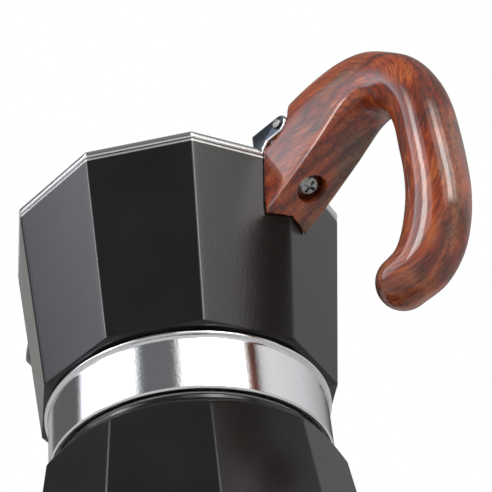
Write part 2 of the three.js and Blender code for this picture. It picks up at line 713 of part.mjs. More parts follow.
function knob() {
  const topZ = knobSeatZ + KNOB_HEIGHT;
  const crownZ = knobSeatZ + KNOB_CROWN_HEIGHT;
  return turned([
    [knobScrewBore, knobSeatZ],
    [KNOB_FOOT, knobSeatZ],
    [KNOB_WAIST, knobSeatZ + KNOB_WAIST_HEIGHT],
    [KNOB_RADIUS, crownZ],
    [KNOB_RADIUS, crownZ + KNOB_EDGE],
    [KNOB_TOP, topZ],
    [0, topZ],
    [0, crownZ],
    [knobScrewBore, crownZ],
    [knobScrewBore, knobSeatZ],
  ], ROUND_SLIM);
}

const knobWasherZ = lidTopZ - LID_SHEET - GAP - KNOB_WASHER;

function knobWasher() {
  return turned([
    [knobScrewBore, knobWasherZ],
    [KNOB_WASHER_RADIUS, knobWasherZ],
    [KNOB_WASHER_RADIUS, knobWasherZ + KNOB_WASHER],
    [knobScrewBore, knobWasherZ + KNOB_WASHER],
    [knobScrewBore, knobWasherZ],
  ], ROUND_SMALL);
}

function knobScrew() {
  const headTop = knobWasherZ - GAP;
  const endZ = knobSeatZ + KNOB_SCREW_REACH;
  return turned([
    [0, headTop - KNOB_SCREW_HEAD],
    [KNOB_SCREW_HEAD_RADIUS / 2, headTop - KNOB_SCREW_HEAD],
    [KNOB_SCREW_HEAD_RADIUS, headTop - KNOB_SCREW_HEAD / 2],
    [KNOB_SCREW_HEAD_RADIUS, headTop],
    [KNOB_SCREW_RADIUS, headTop],
    [KNOB_SCREW_RADIUS, endZ],
    [0, endZ],
  ], ROUND_BORE);
}

// ---------------------------------------------------------------- handle

// The handle screw's own frame: height runs up into the handle from the underside.
const screwX = handleFootX + SCREW_OUT * Math.cos(UNDERSIDE_ANGLE * toRadians);
const alongScrew = (body) => body.rotate([0, -UNDERSIDE_ANGLE, 0]).translate([screwX, 0, undersideZ(screwX)]);

// The handle's side view: a flat underside, a rounded bend, a straight grip and a curled-in end.
function handleOutline() {
  const gripZ = rimZ - GRIP_DROP;
  const gripInner = GRIP_REACH - GRIP_RADIUS;
  const gripOuter = GRIP_REACH + GRIP_RADIUS;
  const bendX = handleFootX + UNDERSIDE_LENGTH * Math.cos(UNDERSIDE_ANGLE * toRadians);
  const bendZ = undersideZ(bendX);
  const tipZ = rimZ - TIP_DROP;
  const topZ = rimZ + HANDLE_RISE;
  const crestX = (notchX + bendX) / 2 + GRIP_RADIUS;
  const lead = 2 * GRIP_RADIUS; // how far the bends reach before they turn
  const backX = RIM_RADIUS - 2 * HANDLE_EDGE;
  const shape = new THREE.Shape();
  shape.moveTo(backX, undersideZ(backX));
  shape.lineTo(bendX, bendZ);
  shape.bezierCurveTo(bendX + lead, undersideZ(bendX + lead), gripInner, gripZ + lead, gripInner, gripZ);
  const curlX = (gripInner + TIP_REACH) / 2 + TIP_RADIUS / 2;
  shape.bezierCurveTo(gripInner, gripZ - lead, curlX, tipZ + TIP_RADIUS, TIP_REACH, tipZ + TIP_RADIUS);
  shape.absarc(TIP_REACH, tipZ, TIP_RADIUS, Math.PI / 2, 1.5 * Math.PI, false);
  const sweep = gripOuter - gripInner;
  const curlZ = gripZ - BEND_FULLNESS * sweep;
  shape.bezierCurveTo(gripInner + TIP_RADIUS, tipZ - TIP_RADIUS, gripOuter, curlZ, gripOuter, gripZ);
  const bendTopZ = gripZ + BEND_FULLNESS * sweep;
  shape.bezierCurveTo(gripOuter, bendTopZ, crestX + CREST_FULLNESS * sweep, topZ, crestX, topZ);
  shape.quadraticCurveTo(notchX + HANDLE_EDGE, topZ, backX, topZ - 2 * HANDLE_EDGE);
  return shape;
}

// Space for the hinge: a floor just above the rim and a wall behind the knuckle.
function hingeNotch() {
  const floorZ = rimZ + NOTCH_FLOOR;
  const shape = new THREE.Shape();
  shape.moveTo(0, floorZ);
  shape.lineTo(pinX, floorZ);
  shape.quadraticCurveTo(notchX, floorZ, notchX, floorZ + NOTCH_WALL);
  shape.lineTo(notchX, rimZ + 2 * HANDLE_RISE);
  shape.lineTo(0, rimZ + 2 * HANDLE_RISE);
  return sidePlate(shape, 2 * HANDLE_WIDTH);
}

function handle() {
  const depth = HANDLE_WIDTH - 2 * HANDLE_EDGE;
  const geometry = new THREE.ExtrudeGeometry(handleOutline(), {
    depth,
    bevelThickness: HANDLE_EDGE,
    bevelSize: HANDLE_EDGE,
    bevelOffset: -HANDLE_EDGE,
    bevelSegments: BEVEL_STEPS,
    curveSegments: OUTLINE_STEPS,
  });
  const body = solid(geometry.rotateX(Math.PI / 2).translate(0, depth / 2, 0));
  const clearance = GAP / inradiusShare;
  const jugSpace = faceted([
    [0, footZ],
    [FOOT_RADIUS + clearance, footZ],
    [RIM_RADIUS + clearance, rimZ],
    [lidCorner + clearance, rimZ],
    [lidCorner + clearance, rimZ + 2 * HANDLE_RISE],
    [0, rimZ + 2 * HANDLE_RISE],
  ]);
  const screwSpace = alongScrew(turned([
    [0, -HANDLE_EDGE],
    [SCREW_HEAD_RADIUS + GAP, -HANDLE_EDGE],
    [SCREW_HEAD_RADIUS + GAP, SCREW_SINK + SCREW_HEAD_HEIGHT + GAP],
    [SCREW_RADIUS + GAP, SCREW_SINK + SCREW_HEAD_HEIGHT + GAP],
    [SCREW_RADIUS + GAP, SCREW_LENGTH + GAP],
    [0, SCREW_LENGTH + GAP],
  ], ROUND_SMALL));
  return [jugSpace, tang(GAP), hingeNotch(), screwSpace].reduce((rest, space) => rest.subtract(space), body);
}

function handleScrew() {
  const seat = SCREW_SINK + SCREW_HEAD_HEIGHT;
  const body = turned([
    [0, SCREW_SINK],
    [SCREW_HEAD_RADIUS - SCREW_SINK, SCREW_SINK],
    [SCREW_HEAD_RADIUS, SCREW_SINK + SCREW_HEAD_HEIGHT / 2],
    [SCREW_HEAD_RADIUS, seat],
    [SCREW_RADIUS, seat],
    [SCREW_RADIUS, SCREW_LENGTH],
    [0, SCREW_LENGTH],
  ], ROUND_SMALL);
  const recess = 2 * SCREW_SINK;
  const cross = block(SCREW_CROSS, SCREW_CROSS_WIDTH, recess, 0, 0, SCREW_SINK)
    .add(block(SCREW_CROSS_WIDTH, SCREW_CROSS, recess, 0, 0, SCREW_SINK));
  return alongScrew(body.subtract(cross));
}

// ---------------------------------------------------------------- finishes and assembly

const finish = (color, roughness, metalness) => () =>
  new THREE.MeshStandardMaterial({ color, roughness, metalness });

const blackPaint = finish(0x242426, 0.42, 0.1);
const polishedAluminium = finish(0xdcdddf, 0.14, 1);
const castAluminium = finish(0xb9babc, 0.45, 1);
const brass = finish(0xb78f45, 0.3, 1);
const steel = finish(0xa9abad, 0.28, 1);
const rubber = finish(0xd8d2c4, 0.85, 0);
const fibre = finish(0x7a3326, 0.8, 0);
const rosewood = finish(0x7d3218, 0.2, 0);

const pieces = {
  boiler: [boiler, blackPaint],
  valve_washer: [valveWasher, fibre],
  valve_body: [valveBody, brass],
  valve_cap: [valveCap, brass],
  valve_poppet: [valvePoppet, steel],
  valve_spring: [valveSpring, steel],
  funnel: [funnel, castAluminium],
  funnel_plate: [funnelPlate, castAluminium],
  gasket: [gasket, rubber],
  filter_plate: [filterPlate, castAluminium],
  jug: [jug, blackPaint],
  collar_band: [collarBand, polishedAluminium],
  column: [column, castAluminium],
  lid: [lid, polishedAluminium],
  hinge_pin: [hingePin, steel],
  knob: [knob, rosewood],
  knob_screw: [knobScrew, steel],
  knob_washer: [knobWasher, steel],
  handle: [handle, rosewood],
  handle_screw: [handleScrew, steel],
};

const mokaPot = new THREE.Group();
for (const [name, [shape, material]] of Object.entries(pieces)) {
  const mesh = new THREE.Mesh(geometryOf(shape()), material());
  mesh.name = name;
  mokaPot.add(mesh);
}

export default mokaPot;
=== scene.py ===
"""A ten-sided moka pot with a curled rosewood handle, seen from below its polished band.

Lengths in this file are millimetres until a mesh is made. +Z is up, the handle points along +X and
the spout along -X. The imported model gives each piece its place.
"""

import math

import bmesh
import bpy
import numpy as np
from mathutils import Matrix, Vector


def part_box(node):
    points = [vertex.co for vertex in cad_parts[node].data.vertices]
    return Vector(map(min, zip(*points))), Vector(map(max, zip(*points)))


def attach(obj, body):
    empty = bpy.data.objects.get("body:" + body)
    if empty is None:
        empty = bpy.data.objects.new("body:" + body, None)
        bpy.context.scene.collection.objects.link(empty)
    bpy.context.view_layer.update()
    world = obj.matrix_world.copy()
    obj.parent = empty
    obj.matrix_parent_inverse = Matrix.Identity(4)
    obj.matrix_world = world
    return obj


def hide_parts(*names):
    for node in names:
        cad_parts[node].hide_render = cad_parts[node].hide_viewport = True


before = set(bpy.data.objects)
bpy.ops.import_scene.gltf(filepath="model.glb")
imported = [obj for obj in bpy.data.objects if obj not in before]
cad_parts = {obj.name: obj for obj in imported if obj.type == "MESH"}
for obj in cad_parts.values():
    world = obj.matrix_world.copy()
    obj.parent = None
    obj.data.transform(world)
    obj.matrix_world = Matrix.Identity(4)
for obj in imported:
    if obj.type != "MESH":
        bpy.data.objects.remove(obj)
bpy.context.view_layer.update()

MM = 0.001


def span(node):
    """Lowest and highest corner of a CAD node, in millimetres."""
    low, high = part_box(node)
    return np.array(low) / MM, np.array(high) / MM


# ---------------------------------------------------------------- sizes

FACETS = 10
HALF_FACET = math.pi / FACETS
FACET_ROUNDING = 1.5  # radius along the edges between facets
SHARP_EDGE = 38.0  # degrees between faces, above which shading does not run across the edge
SHEEN_EDGE = 1.1  # bare metal along the jug's rim

_, boiler_high = span("boiler")
band_low, band_high = span("collar_band")
jug_low, _ = span("jug")
lid_low, _ = span("lid")
pin_low, pin_high = span("hinge_pin")
knob_low, knob_high = span("knob")
column_low, column_high = span("column")
funnel_low, funnel_high = span("funnel")
gasket_low, gasket_high = span("gasket")
filter_low, filter_high = span("filter_plate")
plate_low, plate_high = span("funnel_plate")

SCREW_HOLE = 2.3  # radius of the holes for the knob's and the handle's screws
VALVE_BORE = 4.3
GASKET_BORE = 28.3
LID_SHEET = 1.8  # the lid's thickness around its screw

BOILER_LEDGE = 83.4
BASE_CORNER = 53.7
SHOULDER_CORNER = 43.3
SHOULDER_Z = 77.6
LIP_Z = 82.0
LIP_RADIUS = 38.6
NECK_RADIUS = 33.4
NECK_BORE = 30.4
THREAD_DEPTH = 0.95
THREAD_PITCH = 3.0
THREAD_TURNS = 1.75

SKIRT_RADIUS = 37.9
SKIRT_BORE = 35.9
FOOT_CORNER = 43.8
FOOT_Z = 103.6
RIM_CORNER = 51.1
RIM_Z = 163.7
JUG_WALL = 3.2
JUG_FLOOR_Z = 104.8
SEAT_Z = 99.8
DOME_RADIUS = 26.1
SOCKET_RADIUS = 7.9

SPOUT_REACH = -jug_low[0]
SPOUT_POINT_Z = RIM_Z - 42
SPOUT_HALF_WIDTH = 20.5
SPOUT_WALL = 2.4

LID_CORNER = 51.3
LID_Z = RIM_Z + 0.3
LID_EDGE = 2.3
LID_TOP_Z = 174.3
LID_TOP_RADIUS = 10
SPIGOT_CORNER = 47.1
SPIGOT_INNER = 45.9

pin_x = (pin_low[0] + pin_high[0]) / 2
pin_z = (pin_low[2] + pin_high[2]) / 2
pin_radius = (pin_high[2] - pin_low[2]) / 2
KNUCKLE_RADIUS = 3.1
KNUCKLE_WIDTH = 10.8
EAR_THICKNESS = 2.0

# ---------------------------------------------------------------- mesh building


def finished(name, bm, materials, sharp=SHARP_EDGE):
    """A Blender object from a bmesh in millimetres, smooth except along sharp edges."""
    bmesh.ops.remove_doubles(bm, verts=bm.verts, dist=1e-4)
    bmesh.ops.dissolve_degenerate(bm, edges=bm.edges, dist=1e-4)
    bmesh.ops.recalc_face_normals(bm, faces=bm.faces)
    bmesh.ops.scale(bm, vec=(MM, MM, MM), verts=bm.verts)
    mesh = bpy.data.meshes.new(name)
    bm.to_mesh(mesh)
    bm.free()
    for material in materials:
        mesh.materials.append(material)
    shade(mesh, sharp)
    piece = bpy.data.objects.new(name, mesh)
    bpy.context.scene.collection.objects.link(piece)
    return piece


def shade(mesh, sharp):
    mesh.shade_smooth()
    mesh.set_sharp_from_angle(angle=math.radians(sharp))


def from_rows(name, rows, materials, loop, indices=None):
    """A skin through rows of points. A looped skin closes on its first row, another ends in flat caps."""
    count, width = len(rows), len(rows[0])
    bm = bmesh.new()
    verts = [[bm.verts.new(point) for point in row] for row in rows]
    for i in range(count if loop else count - 1):
        lower, upper = verts[i], verts[(i + 1) % count]
        for j in range(width):
            k = (j + 1) % width
            face = bm.faces.new((lower[j], lower[k], upper[k], upper[j]))
            if indices:
                face.material_index = indices[i]
    if not loop:
        bm.faces.new(verts[0][::-1])
        bm.faces.new(verts[-1])
    return finished(name, bm, materials, SHARP_EDGE)


def rounded(corners, loop=False, steps=5):
    """Corners of (radius, height, rounding, ...) as points, each rounded corner an arc."""
    points = []
    count = len(corners)
    for i, corner in enumerate(corners):
        here = np.array(corner[:2], float)
        rounding = corner[2] if len(corner) > 2 else 0
        extra = list(corner[3:])
        end = not loop and i in (0, count - 1)
        if not rounding or end:
            points.append([*here, *extra])
            continue
        before = np.array(corners[i - 1][:2], float) - here
        after = np.array(corners[(i + 1) % count][:2], float) - here
        reach = min(np.linalg.norm(before), np.linalg.norm(after))
        before /= np.linalg.norm(before)
        after /= np.linalg.norm(after)
        half = math.acos(float(np.clip(before @ after, -1, 1))) / 2
        tangent = min(rounding / math.tan(half), 0.48 * reach)
        radius = tangent * math.tan(half)
        centre = here + (before + after) / np.linalg.norm(before + after) * radius / math.sin(half)
        first = here + before * tangent - centre
        last = here + after * tangent - centre
        turn = math.atan2(first[0] * last[1] - first[1] * last[0], float(first @ last))
        for k in range(steps + 1):
            a = turn * k / steps
            spoke = (
                first[0] * math.cos(a) - first[1] * math.sin(a),
                first[0] * math.sin(a) + first[1] * math.cos(a),
            )
            points.append([centre[0] + spoke[0], centre[1] + spoke[1], *extra])
    return points


def turned(name, corners, materials, loop=False, columns=144, steps=5, axis="Z", at=(0, 0, 0)):
    """A turned piece: its profile runs upwards on the outside. Along Y, height is distance along +Y."""
    profile = rounded(corners, loop, steps)
    angles = np.linspace(0, 2 * math.pi, columns, endpoint=False)
    rows = []
    for radius, height, *_ in profile:
        radius = max(radius, 0)
        flat = [(radius * math.cos(a), radius * math.sin(a), height) for a in angles]
        if axis == "Y":
            flat = [(x, z, -y) for x, y, z in flat]
        rows.append([(x + at[0], y + at[1], z + at[2]) for x, y, z in flat])
    return from_rows(name, rows, materials, loop)


def rod(name, radius, low, high, materials, **options):
    """A plain cylinder, mostly for cutting a bore."""
    return turned(name, [(0, low), (radius, low), (radius, high), (0, high)], materials, **options)


def washer(name, bore, radius, low, high, roundings, materials, **options):
    """A flat ring. Its roundings are inner low, outer low, outer high and inner high."""
    corners = zip((bore, radius, radius, bore), (low, low, high, high), roundings)
    return turned(name, list(corners), materials, loop=True, **options)


def prism(name, outline, width, materials, bevel, centre_y=0.0, segments=3):
    """A plate in the XZ plane with rounded edges, centred on Y."""
    bm = bmesh.new()
    verts = [bm.verts.new((x, centre_y - width / 2, z)) for x, z in outline]
    face = bm.faces.new(verts)
    swept = bmesh.ops.extrude_face_region(bm, geom=[face])
    moved = [v for v in swept["geom"] if isinstance(v, bmesh.types.BMVert)]
    bmesh.ops.translate(bm, vec=(0, width, 0), verts=moved)
    bmesh.ops.recalc_face_normals(bm, faces=bm.faces)
    if bevel:
        rim = [e for e in bm.edges if e.is_manifold and e.calc_face_angle(0) > math.radians(40)]
        bmesh.ops.bevel(
            bm, geom=rim, offset=bevel, segments=segments, profile=0.5, affect="EDGES", clamp_overlap=True
        )
    return finished(name, bm, materials)


def arc(x, z, radius, start, end, steps=16):
    """Points of an arc, in degrees."""
    turns = np.radians(np.linspace(start, end, steps + 1))
    return [(x + radius * math.cos(a), z + radius * math.sin(a)) for a in turns]


def combined(piece, operation, *tools, sharp=SHARP_EDGE):
    """Cuts or joins tools with a piece, and removes them."""
    for tool in tools:
        modifier = piece.modifiers.new(operation, "BOOLEAN")
        modifier.operation = operation
        modifier.object = tool
        modifier.solver = "EXACT"
    settle(piece)
    for tool in tools:
        bpy.data.objects.remove(tool)
    shade(piece.data, sharp)
    return piece


def settle(piece):
    """Applies a piece's modifiers to its mesh."""
    bpy.context.view_layer.update()
    evaluated = piece.evaluated_get(bpy.context.evaluated_depsgraph_get())
    mesh = bpy.data.meshes.new_from_object(evaluated)
    piece.modifiers.clear()
    piece.data = mesh


def placed(piece, body, slot, *nodes):
    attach(piece, body)
    if nodes:
        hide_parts(*nodes)
    return piece


# ---------------------------------------------------------------- faceted skins

ARC_COLUMNS = 4
FLAT_COLUMNS = 22


def smooth_step(t):
    t = np.clip(t, 0, 1)
    return t * t * (3 - 2 * t)


def soft_min(a, b, width):
    share = np.clip(0.5 + 0.5 * (b - a) / width, 0, 1)
    return b * (1 - share) + a * share - width * share * (1 - share)


def soft_max(a, b, width):
    return -soft_min(-a, -b, width)


def facet_ring(corner, facet_share=1.0):
    """Angles and radii of one ring of flat facets with rounded edges, one of them on +X."""
    corner = max(corner, 1e-3)
    inradius = corner * math.cos(HALF_FACET)
    rounding = min(FACET_ROUNDING, inradius / 2)
    turn = HALF_FACET - math.atan((inradius - rounding) * math.tan(HALF_FACET) / inradius)
    near = turn * np.linspace(-1, 1, 2 * ARC_COLUMNS + 1)
    flat = np.linspace(turn, 2 * HALF_FACET - turn, FLAT_COLUMNS + 2)[1:-1]
    offsets = np.concatenate([near, flat])
    angles = (np.arange(FACETS)[:, None] * 2 * HALF_FACET + offsets).ravel()
    off = (angles + HALF_FACET) % (2 * HALF_FACET) - HALF_FACET
    centre = (inradius - rounding) / math.cos(HALF_FACET)
    bend = centre * np.cos(off) + np.sqrt(np.maximum(rounding**2 - (centre * np.sin(off)) ** 2, 0))
    straight = inradius / np.cos(HALF_FACET - np.abs(off))
    radii = np.where(np.abs(off) < turn, bend, straight)
    return angles, facet_share * radii + (1 - facet_share) * corner


def ring_points(angles, radii, z):
    heights = np.broadcast_to(z, angles.shape)
    return np.stack([radii * np.cos(angles), radii * np.sin(angles), heights], axis=1)


def thread_ridge(angles, z, start, depth):
    """Height of a right-hand thread's ridge at each angle, at one level."""
    ridge = np.zeros_like(angles)
    for turn in range(math.ceil(THREAD_TURNS) + 1):
        along = angles / (2 * math.pi) + turn
        off = (z - start - THREAD_PITCH * along) / THREAD_PITCH
        swell = np.clip(np.cos(math.pi * off * 1.15), 0, 1) * (np.abs(off) < 0.45)
        fade = smooth_step(along / 0.1) * smooth_step((THREAD_TURNS - along) / 0.1)
        ridge = np.maximum(ridge, depth * swell * fade)
    return ridge


def levels(low, high, step):
    return np.linspace(low, high, max(2, math.ceil((high - low) / step) + 1))


def spout_radius(angles, z, inset):
    """Where the spout's wedge lies in each direction at one level, or 0 below its point."""
    point_z = SPOUT_POINT_Z + 2 * inset
    share = (z - point_z) / (RIM_Z + inset - point_z)
    if share <= 0:
        return np.zeros_like(angles)
    share = min(share, 1.0)
    start = jug_corner(point_z) - inset - JUG_WALL / 2
    tip = start + (SPOUT_REACH - inset - start) * share
    back = start + (RIM_CORNER - SPOUT_HALF_WIDTH * math.tan(HALF_FACET) - JUG_WALL / 2 - start) * share
    nose_x, nose_y = tip - 5 * share, (6.2 - inset) * share
    blunt_y = 2.2 * share
    back_y = (SPOUT_HALF_WIDTH - 1.5 * inset) * share
    off = np.abs(angles % (2 * math.pi) - math.pi)
    across, along = np.sin(off), np.cos(off)

    def side(x0, y0, x1, y1):
        normal = np.array([y0 - y1, x1 - x0]) * -1
        normal = normal / np.linalg.norm(normal)
        if normal[1] < 0:
            normal = -normal
        reach = normal[0] * x0 + normal[1] * y0
        facing = normal[0] * along + normal[1] * across
        return np.where(facing > 0.02, reach / np.maximum(facing, 0.02), 1e3)

    front = np.where(along > 0.02, tip / np.maximum(along, 0.02), 1e3)
    nose = side(tip, blunt_y, nose_x, nose_y)
    flank = side(nose_x, nose_y, back, back_y)
    ahead = soft_min(front, soft_min(nose, flank, 3.0 * share), 1.2 * share)
    return np.where(off < math.radians(60), ahead, 0)


def jug_corner(z):
    return FOOT_CORNER + (RIM_CORNER - FOOT_CORNER) * (z - FOOT_Z) / (RIM_Z - FOOT_Z)


class Skin:
    """Rings gathered in order along a skin, each with the index of its material."""

    def __init__(self):
        self.rows = []
        self.indices = []

    def add(self, angles, radii, z, index=0):
        self.rows.append(ring_points(angles, radii, z))
        self.indices.append(index)

    def plain(self, corner, z, index=0, share=1.0):
        """A ring of facets with this corner radius. A share of 0 makes it round."""
        self.add(*facet_ring(corner, share), z, index)


# ---------------------------------------------------------------- materials


def add_node(tree, kind, inputs=None, **settings):
    made = tree.nodes.new(kind)
    for key, value in settings.items():
        setattr(made, key, value)
    for key, value in (inputs or {}).items():
        put(tree, value, made.inputs[key])
    return made


def put(tree, value, socket):
    """Links another node's output to a socket, or sets the socket's own value."""
    if isinstance(value, bpy.types.NodeSocket):
        tree.links.new(value, socket)
    elif isinstance(value, tuple) and socket.type == "RGBA" and len(value) == 3:
        socket.default_value = (*value, 1)
    else:
        socket.default_value = value


def blended(tree, factor, a, b):
    """Mixes two colours."""
    made = add_node(tree, "ShaderNodeMix", data_type="RGBA")
    colours = [s for s in made.inputs if s.type == "RGBA"]
    for value, socket in ((factor, made.inputs[0]), (a, colours[0]), (b, colours[1])):
        put(tree, value, socket)
    return next(s for s in made.outputs if s.type == "RGBA")


class Shader:
    """A node material. Textures hang on object coordinates unless told otherwise."""

    def __init__(self, name, **sockets):
        self.material = bpy.data.materials.new(name)
        self.material.use_nodes = True
        self.tree = self.material.node_tree
        self.surface = self.tree.nodes["Principled BSDF"]
        for socket, value in sockets.items():
            self.surface.inputs[socket.replace("_", " ")].default_value = value
        self.place = self.node("ShaderNodeTexCoord").outputs["Object"]

    def node(self, kind, inputs=None, **settings):
        return add_node(self.tree, kind, inputs, **settings)

    def link(self, output, socket):
        self.tree.links.new(output, self.surface.inputs[socket])

    def stretched(self, scale, source=None):
        inputs = {"Vector": source or self.place, "Scale": scale}
        return self.node("ShaderNodeMapping", inputs).outputs["Vector"]

    def noise(self, scale, detail=4.0, source=None, roughness=0.55, distortion=0.0):
        inputs = {
            "Vector": source or self.place,
            "Scale": scale,
            "Detail": detail,
            "Roughness": roughness,
            "Distortion": distortion,
        }
        return self.node("ShaderNodeTexNoise", inputs).outputs["Fac"]

    def ramp(self, factor, *stops):
        made = self.node("ShaderNodeValToRGB", {"Fac": factor})
        elements = made.color_ramp.elements
        while len(elements) < len(stops):
            elements.new(0.5)
        for element, (position, colour) in zip(elements, stops):
            element.position = position
            element.color = colour if len(colour) == 4 else (*colour, 1)
        return made.outputs["Color"]

    def spread(self, factor, low, high, from_low=0.3, from_high=0.7):
        inputs = {"Value": factor, "From Min": from_low, "From Max": from_high, "To Min": low, "To Max": high}
        return self.node("ShaderNodeMapRange", inputs).outputs["Result"]

    def math(self, operation, a, b=0.0):
        return self.node("ShaderNodeMath", {0: a, 1: b}, operation=operation).outputs[0]

    def times(self, a, b):
        return self.math("MULTIPLY", a, b)

    def plus(self, a, b):
        return self.math("ADD", a, b)

    def mix(self, factor, a, b):
        return blended(self.tree, factor, a, b)

    def bump(self, height, distance, strength=1.0, normal=None):
        inputs = {"Height": height, "Distance": distance, "Strength": strength}
        if normal:
            inputs["Normal"] = normal
        return self.node("ShaderNodeBump", inputs).outputs["Normal"]


def grey(value, tint=(1, 1, 1)):
    return tuple(value * t for t in tint)


def black_paint():
    """Satin black lacquer with a fine orange peel, faint dust and slightly lighter wear."""
    s = Shader("black_paint", IOR=1.5, Coat_Weight=0.0)
    s.surface.inputs["Specular IOR Level"].default_value = 0.55
    peel = s.noise(1500, 3)
    speck = s.noise(5200, 2)
    cloud = s.noise(38, 5)
    colour = s.mix(s.spread(cloud, 0, 1), grey(0.0075, (1, 1, 1.08)), grey(0.0115, (1, 1, 1.04)))
    dust = s.ramp(speck, (0.0, (0, 0, 0)), (0.68, (0, 0, 0)), (0.78, (1, 1, 1)))
    colour = s.mix(s.times(dust, 0.18), colour, grey(0.06))
    s.link(colour, "Base Color")
    s.link(s.spread(cloud, 0.15, 0.21), "Roughness")
    s.link(s.bump(s.plus(peel, s.times(speck, 0.3)), 0.00004, 0.5), "Normal")
    return s.material


def polished_aluminium():
    """Buffed aluminium: bright, with a mottle of tiny dents and fine turning lines around Z."""
    s = Shader("polished_aluminium", Metallic=1.0)
    mottle = s.noise(1700, 3, roughness=0.7)
    cloud = s.noise(55, 4)
    lines = s.noise(1.0, 3, source=s.stretched((30, 30, 2600)))
    tone = s.plus(s.times(mottle, 0.6), s.times(lines, 0.4))
    s.link(s.ramp(tone, (0.3, grey(0.80, (0.98, 1, 1.02))), (0.7, grey(0.93, (1, 1, 1)))), "Base Color")
    haze = s.plus(s.times(mottle, 0.5), s.times(cloud, 0.5))
    s.link(s.spread(haze, 0.03, 0.075), "Roughness")
    fine = s.bump(mottle, 0.00005, 0.5)
    s.link(s.bump(lines, 0.00003, 0.35, fine), "Normal")
    return s.material


def painted_reflection_aluminium():
    """Painted dark reflection on the hinge ears' flat sides, darkened by choice: the photo shows them dark,
    probably a reflection.
    """
    s = Shader("painted_reflection_aluminium", Metallic=1.0)
    mottle = s.noise(1300, 4, roughness=0.7)
    cloud = s.noise(260, 4)
    s.link(s.mix(s.spread(cloud, 0, 1), (0.060, 0.070, 0.088), (0.10, 0.115, 0.14)), "Base Color")
    s.link(s.spread(mottle, 0.12, 0.26), "Roughness")
    s.link(s.bump(mottle, 0.00006, 0.5), "Normal")
    return s.material


def cast_aluminium():
    """Bare cast aluminium: satin, grainy, greyed where coffee has stood."""
    s = Shader("cast_aluminium", Metallic=1.0)
    grain = s.noise(2100, 4, roughness=0.7)
    cloud = s.noise(60, 5)
    pits = s.node("ShaderNodeTexVoronoi", {"Vector": s.place, "Scale": 900.0}).outputs["Distance"]
    s.link(s.mix(s.spread(cloud, 0, 1), grey(0.5, (1, 0.985, 0.96)), grey(0.72, (1, 1, 1))), "Base Color")
    s.link(s.spread(grain, 0.32, 0.5), "Roughness")
    s.link(s.bump(pits, 0.00008, 0.4, s.bump(grain, 0.00006, 0.6)), "Normal")
    return s.material


def machined_aluminium():
    """Bare aluminium faced on a lathe: rings around Z with a soft glint."""
    s = Shader("machined_aluminium", Metallic=1.0, Anisotropic=0.5)
    parts = s.node("ShaderNodeSeparateXYZ", {"Vector": s.place}).outputs
    squares = s.plus(s.times(parts["X"], parts["X"]), s.times(parts["Y"], parts["Y"]))
    radius = s.math("SQRT", squares)
    ring = s.node("ShaderNodeCombineXYZ", {"X": s.times(radius, 2400.0)}).outputs["Vector"]
    rings = s.noise(1.0, 3, source=ring)
    s.link(s.ramp(rings, (0.3, grey(0.62)), (0.7, grey(0.82))), "Base Color")
    s.link(s.spread(s.noise(90, 4), 0.2, 0.32), "Roughness")
    s.link(s.bump(rings, 0.00005, 0.6), "Normal")
    return s.material


def brass():
    s = Shader("brass", Metallic=1.0)
    cloud = s.noise(240, 5)
    lines = s.noise(1.0, 3, source=s.stretched((300, 4200, 300)))
    s.link(s.mix(s.spread(cloud, 0, 1), (0.46, 0.29, 0.10), (0.72, 0.50, 0.20)), "Base Color")
    s.link(s.spread(cloud, 0.34, 0.2), "Roughness")
    s.link(s.bump(lines, 0.00004, 0.5), "Normal")
    return s.material


def steel():
    """Nickel-plated steel with fine scratches."""
    s = Shader("steel", Metallic=1.0)
    cloud = s.noise(420, 5)
    scratch = s.noise(1.0, 3, source=s.stretched((900, 5200, 900)))
    s.link(s.mix(s.spread(cloud, 0, 1), grey(0.30, (1, 0.98, 0.95)), grey(0.50)), "Base Color")
    s.link(s.spread(s.plus(s.times(cloud, 0.5), s.times(scratch, 0.5)), 0.14, 0.3), "Roughness")
    s.link(s.bump(scratch, 0.00004, 0.4), "Normal")
    return s.material


def rubber():
    s = Shader("rubber", IOR=1.5, Subsurface_Weight=0.0)
    cloud = s.noise(160, 5)
    grain = s.noise(2600, 3)
    s.link(s.mix(s.spread(cloud, 0, 1), (0.60, 0.55, 0.45), (0.74, 0.70, 0.61)), "Base Color")
    s.link(s.spread(grain, 0.62, 0.8), "Roughness")
    s.link(s.bump(grain, 0.00006, 0.6), "Normal")
    return s.material


def fibre():
    s = Shader("fibre", IOR=1.45)
    weave = s.noise(1.0, 4, source=s.stretched((3800, 500, 3800)))
    s.link(s.mix(s.spread(weave, 0, 1), (0.12, 0.028, 0.018), (0.26, 0.07, 0.045)), "Base Color")
    s.link(s.spread(weave, 0.7, 0.9), "Roughness")
    s.link(s.bump(weave, 0.0001, 0.6), "Normal")
    return s.material


